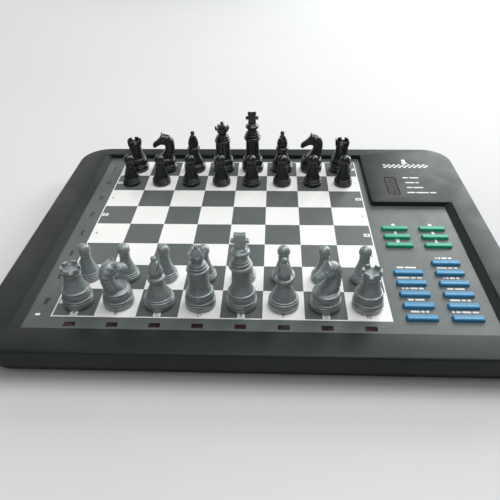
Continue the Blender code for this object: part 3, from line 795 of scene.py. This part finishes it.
def glyph_meshes():
    """Board coordinates as thin raised ink, taken from Blender's own font."""
    bm = bmesh.new()
    dg = bpy.context.evaluated_depsgraph_get()
    for f, r, side, ch in MARKS:
        cu = bpy.data.curves.new("glyph", "FONT")
        cu.body = ch
        cu.size = 4.6 * MM
        cu.align_x, cu.align_y = "CENTER", "CENTER"
        cu.extrude = 0.02 * MM
        cu.resolution_u = 3
        ob = bpy.data.objects.new("glyph", cu)
        scene.collection.objects.link(ob)
        bpy.context.view_layer.update()
        dg = bpy.context.evaluated_depsgraph_get()
        me = bpy.data.meshes.new_from_object(ob.evaluated_get(dg))
        box = mark_box(f, r, side)
        cx, cy = (box[0][0] + box[2][0]) / 2, (box[0][1] + box[2][1]) / 2
        z = INK1 + (0.055 if (f + r) % 2 == 0 else 0.022)
        me.transform(Matrix.Translation(Vector((cx, cy, z)) * MM))
        bm.from_mesh(me)
        bpy.data.objects.remove(ob, do_unlink=True)
        bpy.data.curves.remove(cu)
        bpy.data.meshes.remove(me)
    bmesh.ops.remove_doubles(bm, verts=bm.verts, dist=1e-7)
    me = bpy.data.meshes.new("coordinates")
    bm.to_mesh(me)
    bm.free()
    put(me, "coordinates", MAT["ink_dark"])


glyph_meshes()


def greeked(x, y, width, height, seed, parts=3):
    """A line of illegible print: rounded dashes of uneven length."""
    out, gap = [], height * 0.45
    w = [1.0 + 0.6 * math.sin(seed * 2.1 + k * 1.7) for k in range(parts)]
    k0 = (width - gap * (parts - 1)) / sum(w)
    for v in w:
        out.append(rrect(x + v * k0 / 2, y, v * k0, height, height * 0.35, 3))
        x += v * k0 + gap
    return out


def icon(kind, cx, cy, h):
    """Plain outline signs for the six kinds of chessmen."""
    shapes = {
        "pawn": [(-.32, 0), (.32, 0), (.32, .12), (.14, .45), (.2, .62), (.2, .85), (.08, 1),
                 (-.08, 1), (-.2, .85), (-.2, .62), (-.14, .45), (-.32, .12)],
        "rook": [(-.38, 0), (.38, 0), (.38, .14), (.24, .24), (.24, .66), (.38, .74), (.38, 1),
                 (.2, 1), (.2, .88), (.08, .88), (.08, 1), (-.08, 1), (-.08, .88), (-.2, .88),
                 (-.2, 1), (-.38, 1), (-.38, .74), (-.24, .66), (-.24, .24), (-.38, .14)],
        "knight": [(-.34, 0), (.36, 0), (.36, .12), (.30, .5), (.16, .82), (0, 1), (-.08, .9),
                   (-.36, .56), (-.30, .44), (-.06, .52), (-.22, .2), (-.34, .12)],
        "bishop": [(-.34, 0), (.34, 0), (.34, .12), (.12, .26), (.12, .4), (.24, .56), (.16, .78),
                   (0, 1), (-.16, .78), (-.24, .56), (-.12, .4), (-.12, .26), (-.34, .12)],
        "queen": [(-.36, 0), (.36, 0), (.30, .3), (.44, .86), (.2, .6), (.1, 1), (0, .62),
                  (-.1, 1), (-.2, .6), (-.44, .86), (-.30, .3)],
        "king": [(-.34, 0), (.34, 0), (.28, .26), (.42, .5), (.26, .66), (.06, .62), (.06, .8),
                 (.16, .8), (.16, .9), (.06, .9), (.06, 1), (-.06, 1), (-.06, .9), (-.16, .9),
                 (-.16, .8), (-.06, .8), (-.06, .62), (-.26, .66), (-.42, .5), (-.28, .26)],
    }
    return [(cx + x * h, cy + y * h) for x, y in shapes[kind]]


def print_legends():
    out = []
    kinds = ["rook", "pawn", "bishop", "knight", "king", "queen"]
    for name, (x, y) in KEYS.items():
        i = int(name.split("_")[-1])
        if name.startswith("green"):
            out.append(icon(kinds[i - 1], x, y + 5.0, 4.4))
        else:
            w = (16.0, 13.0, 18.5, 12.0, 15.0)[i % 5]
            out += greeked(x - w / 2, y + 7.4, w, 1.9, i, 2 + i % 3)
    film("key_legends", out, MAT["ink_white"])
    pod = []
    for k, (x0, y, w) in enumerate(((138.0, 86.9, 15.5), (139.0, 77.2, 13.0), (138.6, 67.5, 15.5),
                                    (137.2, 57.9, 27.0))):
        pod += greeked(x0, y, w, 2.0, k + 3, 2 + (k == 3))
    for i in range(18):                 # plain chequer band under a pawn sign
        for j in range(3):
            if (i + j) % 2 == 0:
                pod.append(crect(124.2 + 2.5 * i, 109.2 + 2.6 * j, 2.44, 2.54))
    pod.append(icon("pawn", 145.4, 117.2, 9.6))
    film("pod_legends", pod, MAT["ink_white"], Z_TOP + 0.005, Z_TOP + 0.045)


print_legends()

# --------------------------------------------------- lamps and window --


def light_guide():
    s = Solid()
    gx, gy, e = -154.5, -121.5, 3.5
    arm = fillet([(gx - e, gy - e), (88.0, gy - e), (88.0, gy + e), (gx + e, gy + e),
                  (gx + e, 116.0), (gx - e, 116.0)], [1.5, 1.5, 1.5, 0.8, 1.5, 1.5], 4)
    feet_ = [rrect(x, y, w, d, 0.4) for x, y, w, d in LEDS]
    s.flat(18.4, arm)
    s.wall(arm, 18.4, arm, 20.4)
    s.flat(20.4, arm, feet_)
    for (x, y, w, d), lp in zip(LEDS, feet_):
        top = rrect(x, y, w - 0.3, d - 0.3, 0.3)
        s.wall(lp, 20.4, lp, Z_PLATE - 0.2)
        s.wall(lp, Z_PLATE - 0.2, top, Z_PLATE - 0.05)
        bars = []
        n = 4
        for k in range(n):
            if w > d:
                bars.append(crect(x + (k - 1.5) * w / n * 0.9, y, w / n * 0.45, d * 0.62))
            else:
                bars.append(crect(x, y + (k - 1.5) * d / n * 0.9, w * 0.6, d / n * 0.45))
        s.flat(Z_PLATE - 0.05, top, bars)
        for b in bars:
            s.wall(b, Z_PLATE - 0.05, b, Z_PLATE - 0.3)
            s.flat(Z_PLATE - 0.3, b)
    put(s.mesh("lamp_light_guide"), "lamp_light_guide", MAT["lens"],
        stands_for=["led_light_guide"])


light_guide()


def status_window():
    s = Solid()
    fl, lp = rrect(*STAT, 14.0, 37.0, 1.5), rrect(*STAT, 10.0, 33.0, 1.0)
    s.flat(22.9, fl)
    s.wall(fl, 22.9, fl, 24.1)
    s.flat(24.1, fl, [lp])
    top = rrect(*STAT, 9.4, 32.4, 0.8)
    s.wall(lp, 24.1, lp, Z_TOP - 0.35)
    s.wall(lp, Z_TOP - 0.35, top, Z_TOP - 0.12)
    wells = [circle(STAT[0], STAT[1] + dy, 1.6, 20) for dy in (15.6, 5.9, -3.8, -13.4)]
    s.flat(Z_TOP - 0.12, top, wells)
    for w in wells:
        s.wall(w, Z_TOP - 0.12, w, Z_TOP - 0.32)
        s.flat(Z_TOP - 0.32, w)
    put(s.mesh("status_lens"), "status_lens", MAT["smoke"],
        stands_for=["status_window"])


status_window()

# ----------------------------------------------------------------- keys --


def key_mesh(name):
    """Bar key: dished top, rounded shoulders, flange and plunger below."""
    s = Solid()
    seg = 5

    def lp(w, d, r):
        return rrect(0, 0, w, d, r, seg)

    s.flat(17.0, lp(4, 4, 0.5))
    s.wall(lp(4, 4, 0.5), 17.0, lp(4, 4, 0.5), 18.6)
    s.flat(18.6, lp(24.1, 7.8, 1.0), [lp(4, 4, 0.5)])
    s.wall(lp(24.1, 7.8, 1.0), 18.6, lp(24.1, 7.8, 1.0), 20.4)
    s.flat(20.4, lp(24.1, 7.8, 1.0), [lp(KEY_W, KEY_D, 1.0)])
    s.wall(lp(KEY_W, KEY_D, 1.0), 20.4, lp(KEY_W, KEY_D, 1.0), KEY_TOP - 1.1)
    steps = rounding(1.1, 6)
    for (i0, d0), (i1, d1) in zip(steps, steps[1:]):
        s.wall(lp(KEY_W - 2 * i0, KEY_D - 2 * i0, max(1.0 - i0 * 0.6, 0.3)), KEY_TOP - d0,
               lp(KEY_W - 2 * i1, KEY_D - 2 * i1, max(1.0 - i1 * 0.6, 0.3)), KEY_TOP - d1)
    rim = lp(KEY_W - 2.2, KEY_D - 2.2, 0.34)
    dish = lp(KEY_W - 3.2, KEY_D - 3.0, 0.3)
    s.wall(rim, KEY_TOP, dish, KEY_TOP - 0.12)
    s.flat(KEY_TOP - 0.12, dish)
    return s.mesh(name)


def keys():
    base = {"blue": key_mesh("blue_key_cap"), "green": key_mesh("green_key_cap")}
    for name, (x, y) in KEYS.items():
        colour = name.split("_")[0]
        put(base[colour].copy(), name + "_cap", MAT[colour], body=name,
            stands_for=[name], loc=(x * MM, y * MM, 0), smooth=35)


keys()

# -------------------------------------------------- rear: switch, jack --


def rear_parts():
    sx, sz = 121.15, 17.5
    bm = bmesh.new()

    def ring(pts, y):
        return [bm.verts.new((px * MM, y * MM, pz * MM)) for px, pz in pts]

    def bridge(a, b):
        n = len(a)
        for i in range(n):
            j = (i + 1) % n
            bm.faces.new((a[i], a[j], b[j], b[i]))

    fl = rrect(0, sz, 16.6, 6.8, 0.6)
    kn = rrect(0, sz, 4.5, 3.4, 0.4)
    r0, r1, r2, r3 = ring(fl, 148.2), ring(fl, 149.7), ring(kn, 149.7), ring(kn, 151.8)
    bm.faces.new(r0)
    for a, b in ((r0, r1), (r1, r2), (r2, r3)):
        bridge(a, b)
    prev = r3
    for k in range(4):                  # three grip ridges across the knob
        w = 4.5 - 0.5 - 0.0 * k
        prev2 = ring(rrect(0, sz, w - 0.25 * k, 3.4 - 0.3 - 0.22 * k, 0.35), 151.8 + 0.16 * (k + 1))
        bridge(prev, prev2)
        prev = prev2
    bm.faces.new(prev)
    bmesh.ops.recalc_face_normals(bm, faces=bm.faces)
    me = bpy.data.meshes.new("switch_knob")
    bm.to_mesh(me)
    bm.free()
    tools = [("DIFFERENCE", box_mesh("g%d" % k, (dx - 0.25, 151.9, sz - 1.3), (dx + 0.25, 153, sz + 1.3)))
             for k, dx in enumerate((-1.1, 0.0, 1.1))]
    me = carve(me, tools)
    put(me, "switch_knob", MAT["switch"], body="power_switch",
        stands_for=["power_switch"], loc=(sx * MM, 0, 0))
    pin = rod("pin", 154.5, 18.0, 1.0, 138.3, 144.6, 24)
    put(pin, "power_socket_pin", MAT["nickel"])
    lo = box_mesh("leaf", (153.2, 139.0, 20.75), (155.8, 145.0, 21.05))
    put(lo, "power_socket_leaf", MAT["nickel"])


rear_parts()

for node, key in (("main_board", "pcb"), ("key_mat", "mat")):
    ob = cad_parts[node]
    if ob.material_slots:
        ob.material_slots[0].material = MAT[key]
    else:
        ob.data.materials.append(MAT[key])

# ------------------------------------------------------------- chessmen --


def arc(cr, cz, r, a0, a1, n=6):
    return [(cr + r * math.cos(math.radians(a0 + (a1 - a0) * k / n)),
             cz + r * math.sin(math.radians(a0 + (a1 - a0) * k / n))) for k in range(n + 1)]


def curve(pts, n=5):
    """Smooth open curve through (radius, height) points."""
    p = [pts[0]] + list(pts) + [pts[-1]]
    out = []
    for i in range(1, len(p) - 2):
        for k in range(n):
            t = k / n
            out.append(tuple(0.5 * (2 * p[i][j] + (p[i + 1][j] - p[i - 1][j]) * t
                                    + (2 * p[i - 1][j] - 5 * p[i][j] + 4 * p[i + 1][j] - p[i + 2][j]) * t * t
                                    + (3 * p[i][j] - p[i - 1][j] - 3 * p[i + 1][j] + p[i + 2][j]) * t ** 3)
                             for j in (0, 1)))
    out.append(pts[-1])
    return out


def base_profile(rb=11.2, top_r=8.4):
    """Drum foot: rounded toe, a bead, a plain band and a raised top ring."""
    k = rb / 11.2
    pts = [(10.2, 0.0)] + arc(10.2, 0.9, 0.9, -90, 0, 4)
    pts += curve([(11.1, 1.4), (11.2, 2.6), (11.1, 4.2), (10.95, 5.0)], 4)
    pts += [(10.5, 5.35), (10.45, 5.7)]
    pts += arc(10.3, 6.5, 0.75, -70, 80, 6)
    pts += curve([(10.25, 7.3), (10.35, 8.6), (10.1, 10.4), (9.7, 11.5)], 4)
    pts += [(9.3, 11.75), (9.25, 12.0)]
    pts += arc(9.1, 12.85, 0.85, -75, 85, 7)
    pts += [(8.9, 13.75), (top_r + 0.3, 13.85)]
    return [(r * k, z) for r, z in pts[:-1]] + [pts[-1]]


def lathe(name, prof, seg=64, ring_fn=None, tip=None):
    bm = bmesh.new()
    clean = [prof[0]]
    for p in prof[1:]:
        if abs(p[0] - clean[-1][0]) + abs(p[1] - clean[-1][1]) > 0.02:
            clean.append(p)
    rings = []
    for i, (r, z) in enumerate(clean):
        ring = []
        for k in range(seg):
            a = 2 * math.pi * k / seg
            rr, zz = ring_fn(i, r, z, a) if ring_fn else (r, z)
            ring.append(bm.verts.new((rr * MM * math.cos(a), rr * MM * math.sin(a), zz * MM)))
        rings.append(ring)
    for a, b in zip(rings, rings[1:]):
        for i in range(seg):
            j = (i + 1) % seg
            bm.faces.new((a[i], a[j], b[j], b[i]))
    bm.faces.new(list(reversed(rings[0])))
    if tip is None:
        bm.faces.new(rings[-1])
    else:
        top = bm.verts.new((0, 0, tip * MM))
        for i in range(seg):
            bm.faces.new((rings[-1][i], rings[-1][(i + 1) % seg], top))
    bmesh.ops.recalc_face_normals(bm, faces=bm.faces)
    me = bpy.data.meshes.new(name)
    bm.to_mesh(me)
    bm.free()
    return me


def slab(name, pts, half, bevel=0.0):
    """An X-Z outline thickened along Y, with softened edges."""
    bm = bmesh.new()
    f = bm.faces.new([bm.verts.new((x * MM, -half * MM, z * MM)) for x, z in pts])
    out = bmesh.ops.extrude_face_region(bm, geom=[f])
    far = [v for v in out["geom"] if isinstance(v, bmesh.types.BMVert)]
    bmesh.ops.translate(bm, verts=far, vec=(0, 2 * half * MM, 0))
    bmesh.ops.recalc_face_normals(bm, faces=bm.faces)
    if bevel:
        bmesh.ops.bevel(bm, geom=list(bm.edges), offset=bevel * MM, segments=3, profile=0.5,
                        affect="EDGES", clamp_overlap=True)
    me = bpy.data.meshes.new(name)
    bm.to_mesh(me)
    bm.free()
    return me


def spin_tool(me, rz=0.0, ry=0.0, at=(0, 0, 0)):
    me.transform(Matrix.Translation(Vector(at) * MM) @ Matrix.Rotation(rz, 4, "Z")
                 @ Matrix.Rotation(ry, 4, "Y"))
    return me


def pawn():
    p = [(8.1, 0.0)] + arc(8.1, 0.85, 0.85, -90, 0, 4)
    p += curve([(8.95, 1.3), (9.0, 2.4), (8.85, 3.4)], 3)
    p += [(8.4, 3.7), (8.35, 3.95)]
    p += arc(8.2, 4.55, 0.6, -70, 80, 5)
    p += [(7.9, 5.2), (7.75, 5.5)]
    p += arc(7.5, 6.1, 0.55, -70, 75, 5)
    p += curve([(7.3, 6.7), (6.65, 8.8), (5.6, 11.6), (4.75, 14.6), (4.05, 17.4), (3.65, 19.4)], 5)
    p += arc(3.5, 20.35, 0.6, -70, 50, 4)
    p += [(4.8 * math.sin(math.radians(t)), 25.6 - 4.8 * math.cos(math.radians(t)))
          for t in range(50, 178, 8)]
    return lathe("pawn", p, 56, tip=30.4)


def rook():
    p = base_profile()
    p += curve([(8.5, 14.1), (7.6, 16.4), (6.8, 19.4), (6.25, 23.0), (6.15, 26.0)], 6)
    p += arc(6.2, 26.7, 0.6, -75, 75, 5)
    p += curve([(6.35, 27.4), (6.8, 27.9), (7.1, 28.8)], 3)
    p += [(7.15, 32.3), (7.0, 32.65), (6.75, 32.8), (5.6, 32.8), (5.3, 32.6), (5.2, 29.9),
          (4.9, 29.5), (2.5, 29.35), (0.4, 29.3)]
    me = lathe("rook", p, 72, tip=29.3)
    cuts = []
    for k in range(3):
        cuts.append(("DIFFERENCE", spin_tool(box_mesh("n", (-12, -1.35, 30.0), (12, 1.35, 40)),
                                             rz=math.pi / 3 * k + 0.52)))
    return carve(me, cuts)


def bishop():
    p = [(10.2, 0.0)] + arc(10.2, 0.9, 0.9, -90, 0, 4)
    p += curve([(11.1, 1.4), (11.2, 2.6), (11.1, 4.0), (10.9, 4.8)], 4)
    p += [(10.4, 5.1), (10.35, 5.45)]
    p += arc(10.2, 6.2, 0.7, -70, 80, 6)
    p += [(10.0, 7.0), (9.8, 7.3)]
    p += arc(9.55, 7.95, 0.6, -70, 75, 5)
    p += curve([(9.2, 8.6), (8.3, 10.9), (6.9, 13.8), (5.7, 16.6), (5.0, 19.2), (4.85, 21.0)], 6)
    p += arc(5.2, 21.9, 0.85, -80, 60, 5)
    p += curve([(5.8, 22.7), (6.3, 23.3), (6.35, 24.2), (5.9, 24.9), (5.0, 25.3), (4.6, 25.9)], 4)
    p += curve([(4.75, 26.5), (5.15, 27.6), (5.3, 29.0), (5.1, 30.8), (4.2, 33.6), (2.8, 36.6),
                (1.6, 38.1)], 5)
    p += curve([(1.45, 38.3), (1.95, 38.9), (2.1, 39.8), (1.95, 40.8), (1.2, 41.6), (0.4, 41.8)], 4)
    me = lathe("bishop", p, 64, tip=41.8)
    slit = spin_tool(box_mesh("s", (0.4, -9, -0.5), (9.0, 9, 0.5)), ry=-0.95, at=(0.3, 0, 31.9))
    return carve(me, [("DIFFERENCE", slit)])


def queen():
    p = base_profile()
    p += curve([(8.7, 14.1), (8.0, 15.8), (7.5, 18.4), (7.3, 22.4), (7.25, 27.0), (7.2, 30.6)], 5)
    p += curve([(7.2, 30.6), (7.7, 31.0), (8.05, 31.8), (7.8, 32.7), (6.9, 33.2)], 4)
    p += [(6.3, 33.4)]
    p += arc(6.1, 34.5, 1.0, -70, 70, 6)
    p += [(5.5, 35.6)]
    p += arc(5.4, 36.5, 0.8, -65, 65, 5)
    p += [(4.7, 37.4)]
    p += curve([(4.2, 37.8), (4.0, 38.6), (4.3, 39.8), (5.2, 41.8), (6.2, 44.0), (6.9, 45.6)], 5)
    p += [(7.05, 46.1), (6.85, 46.5), (6.2, 46.1), (5.4, 45.0), (4.8, 44.2)]
    p += curve([(4.4, 44.2), (3.7, 46.0), (2.7, 47.8), (1.7, 49.2), (1.25, 49.7)], 4)
    p += curve([(1.25, 49.7), (1.6, 50.2), (1.65, 50.8), (1.2, 51.5), (0.4, 51.6)], 4)

    def ring_fn(i, r, z, a):
        t = (a * 8 / (2 * math.pi)) % 1.0
        spike = (1 - abs(2 * t - 1)) ** 1.15             # 0 in the notch, 1 at a point
        if r > 6.5 and 45.0 < z < 47.0:
            return r + 0.25 * spike, z - 2.6 + 3.6 * spike
        if 5.9 < r < 6.5 and 45.9 < z < 46.4:
            return r, z - 2.5 + 2.7 * spike
        return r, z

    return lathe("queen", p, 80, ring_fn, tip=51.6)


def king():
    p = base_profile()
    p += curve([(8.7, 14.1), (7.9, 16.0), (7.1, 18.6), (6.65, 21.6), (6.55, 26.0), (6.55, 33.0)], 5)
    p += curve([(6.55, 32.6), (7.2, 33.4), (8.2, 34.5), (8.45, 35.5), (8.0, 36.4), (6.8, 36.9)], 4)
    p += [(6.3, 37.2)]
    p += arc(6.3, 38.4, 0.95, -70, 70, 6)
    p += [(5.8, 39.5)]
    p += arc(5.5, 40.4, 0.8, -65, 65, 5)
    p += curve([(5.2, 41.3), (4.75, 42.2), (4.55, 43.4), (4.9, 44.6), (5.8, 45.7)], 4)
    p += [(6.35, 46.1), (6.6, 46.5), (6.65, 47.2), (6.5, 47.8), (6.1, 48.2), (5.6, 48.4)]
    p += curve([(5.2, 48.7), (4.2, 49.8), (3.2, 50.3)], 3)
    p += [(3.1, 50.7), (2.6, 50.9)]
    body = lathe("king", p, 64, tip=50.9)
    w, z0, neck, waist = 6.3, 50.0, 3.1, 3.0
    zc, top = 55.8, 61.6
    pts = [(-neck, z0), (neck, z0), (3.9, z0 + 1.4), (3.75, zc - 2.4), (waist, zc - 1.35), (w - .4, zc - 1.0), (w, zc - 0.7),
           (w, zc + 0.8), (w - .4, zc + 1.1), (waist, zc + 1.45), (3.6, zc + 2.5), (4.25, top - 0.8), (3.7, top), (1.2, top - .35),
           (-1.2, top - .35), (-3.7, top), (-4.25, top - 0.8), (-3.6, zc + 2.5), (-waist, zc + 1.45), (-w + .4, zc + 1.1),
           (-w, zc + 0.8), (-w, zc - 0.7), (-w + .4, zc - 1.0), (-waist, zc - 1.35), (-3.75, zc - 2.4), (-3.9, z0 + 1.4)]
    cross = slab("cross", pts, 1.9, 0.35)
    return carve(body, [("UNION", cross)])


def catmull_closed(ctrl, n=8):
    out, m = [], len(ctrl)
    for i in range(m):
        p0, p1, p2, p3 = ctrl[i - 1], ctrl[i], ctrl[(i + 1) % m], ctrl[(i + 2) % m]
        for k in range(n):
            t = k / n
            out.append(tuple(0.5 * (2 * p1[j] + (p2[j] - p0[j]) * t
                                    + (2 * p0[j] - 5 * p1[j] + 4 * p2[j] - p3[j]) * t * t
                                    + (3 * p1[j] - p0[j] - 3 * p2[j] + p3[j]) * t ** 3)
                             for j in (0, 1)))
    return out


HORSE = [(-8.4, 12.4), (-8.8, 15.0), (-9.7, 19.0), (-10.5, 23.5), (-10.8, 28.0), (-10.1, 32.0),
         (-8.3, 35.2), (-5.6, 37.3), (-2.6, 38.2), (-0.4, 38.5), (0.5, 39.4), (1.2, 40.8),
         (1.9, 39.4), (2.4, 37.7), (3.6, 35.8), (5.4, 33.7), (7.9, 31.7), (10.2, 29.9),
         (11.4, 27.8), (11.4, 25.4), (10.2, 24.1), (8.2, 24.6), (5.7, 26.1), (3.2, 27.3),
         (1.0, 27.6), (-0.6, 26.9), (-1.0, 25.2), (-0.2, 22.8), (1.5, 20.0), (3.4, 17.4),
         (5.6, 14.8), (7.8, 12.8), (8.2, 12.4)]


def seg_dist(px, pz, ax, az, bx, bz):
    vx, vz = bx - ax, bz - az
    t = ((px - ax) * vx + (pz - az) * vz) / max(vx * vx + vz * vz, 1e-9)
    t = max(0.0, min(1.0, t))
    return math.hypot(px - ax - vx * t, pz - az - vz * t)


def smoothstep(a, b, x):
    t = max(0.0, min(1.0, (x - a) / (b - a)))
    return t * t * (3 - 2 * t)


def knight():
    """Horse head: a rounded relief swelled from its outline, with carved detail."""
    line = catmull_closed(HORSE, 6)
    a = slab("horse", line, 4.0)
    ob = bpy.data.objects.new("horse", a)
    scene.collection.objects.link(ob)
    md = ob.modifiers.new("r", "REMESH")
    md.mode, md.voxel_size = "VOXEL", 0.00042
    bpy.context.view_layer.update()
    dg = bpy.context.evaluated_depsgraph_get()
    me = bpy.data.meshes.new_from_object(ob.evaluated_get(dg))
    bpy.data.objects.remove(ob, do_unlink=True)
    n = len(line)
    back = [p for p in line if p[0] < 0.4 and p[1] > 13 and (p[0] < -7 or p[1] > 33)]

    def relief_at(x, z):
        up = 0.9 * math.exp(-((x - 0.4) ** 2 + (z - 30.6) ** 2) / 9.0)          # cheek
        up += 0.5 * math.exp(-((x - 9.2) ** 2 + (z - 27.0) ** 2) / 4.0)          # muzzle
        up += 0.45 * math.exp(-((x - 2.8) ** 2 + (z - 35.0) ** 2) / 2.2)         # brow
        de = math.hypot(x - 3.3, z - 33.2)
        up += 0.6 * math.exp(-(de / 0.65) ** 2) - 0.75 * math.exp(-((de - 1.3) / 0.45) ** 2)
        up -= 0.8 * math.exp(-((x - 9.9) ** 2 + (z - 27.8) ** 2) / 0.4)        # nostril
        dm = seg_dist(x, z, 6.6, 26.8, 10.8, 25.6)
        up -= 0.5 * math.exp(-(dm / 0.34) ** 2)                                  # mouth
        dj = abs(math.hypot(x - 0.6, z - 31.0) - 4.1)
        if x < 3.6 and z < 34.5:
            up -= 0.65 * math.exp(-(dj / 0.5) ** 2)                             # jaw line
        dmane = min(math.hypot(x - p[0], z - p[1]) for p in back)
        band = smoothstep(4.6, 3.6, dmane) * smoothstep(13.5, 16.0, z)
        ang = math.atan2(z - 24.0, x + 1.0)
        up += band * (0.25 + 0.48 * math.sin(ang * 17.0 + dmane * 0.8))
        up -= 0.6 * math.exp(-((dmane - 4.3) / 0.45) ** 2) * smoothstep(14, 17, z)
        up += 0.5 * math.exp(-(seg_dist(x, z, 0.4, 37.4, 1.2, 40.0) / 0.75) ** 2)   # ear
        return up

    for v in me.vertices:
        x, y, z = v.co.x / MM, v.co.y / MM, v.co.z / MM
        d = min(seg_dist(x, z, *line[i], *line[(i + 1) % n]) for i in range(n))
        t = 6.4 - 1.5 * smoothstep(15, 27, z) - 0.5 * smoothstep(34, 40, z)
        t -= 1.0 * smoothstep(3.0, 9.5, x) * smoothstep(22, 26, z)
        edge_r = 4.4
        k = math.sqrt(max(0.0, 1 - (1 - min(d, edge_r) / edge_r) ** 2))
        side = max(-1.0, min(1.0, y / 4.0))
        v.co.y = side * (t * k + relief_at(x, z) * k) * MM
    bm = bmesh.new()
    bm.from_mesh(me)
    for _ in range(2):
        bmesh.ops.smooth_vert(bm, verts=bm.verts, factor=0.35, use_axis_x=True, use_axis_y=True,
                              use_axis_z=True)
    bm.to_mesh(me)
    bm.free()
    p = base_profile()
    p += curve([(8.4, 14.0), (7.6, 14.6), (5.0, 15.0)], 4)
    core = lathe("knight", p, 64)
    return carve(core, [("UNION", me)])


FACE = {"white_knight_b": 0.90, "white_knight_g": math.pi + 0.45, "black_knight_b": math.pi,
        "black_knight_g": math.pi}


def chessmen():
    makers = {"pawn": pawn, "rook": rook, "bishop": bishop, "queen": queen, "king": king,
              "knight": knight}
    made = {k: fn() for k, fn in makers.items()}
    for name in sorted(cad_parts):
        parts_ = name.split("_")
        if parts_[0] not in ("white", "black"):
            continue
        kind = parts_[1]
        lo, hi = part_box(name)
        cx = round(((lo[0] + hi[0]) / 2 / MM - BX) / SQ - 0.5) + 0.5      # centre of its square
        cy = round(((lo[1] + hi[1]) / 2 / MM - BY) / SQ - 0.5) + 0.5
        loc = ((BX + SQ * cx) * MM, (BY + SQ * cy) * MM, lo[2])
        turn = FACE.get(name, 0.0)
        if not turn:
            f = "abcdefgh".find(parts_[-1]) if len(parts_) > 2 else 4
            turn = 0.0 if kind in ("king", "knight") else 0.37 * (f + 1)
        if kind == "bishop":
            turn = {"white_bishop_c": 0.35, "white_bishop_f": 2.6, "black_bishop_c": -0.6,
                    "black_bishop_f": 3.6}[name]
        put(made[kind].copy(), name + "_man", MAT["silver" if parts_[0] == "white" else "ebony"],
            body=name,
            stands_for=[name], smooth=38, loc=loc, rz=turn)


chessmen()

# ---------------------------------------------------------------- floor --


def floor():
    bm = bmesh.new()
    bmesh.ops.create_grid(bm, x_segments=2, y_segments=2, size=6.0)
    me = bpy.data.meshes.new("floor")
    bm.to_mesh(me)
    bm.free()
    m = Mat("floor_paper", rough=0.85)
    m.color(m.ramp(m.noise(3.0, 2.0), [(0.3, (0.66, 0.665, 0.665)), (0.7, (0.68, 0.685, 0.685))]))
    me.materials.append(m.m)
    ob = bpy.data.objects.new("floor", me)
    scene.collection.objects.link(ob)


floor()
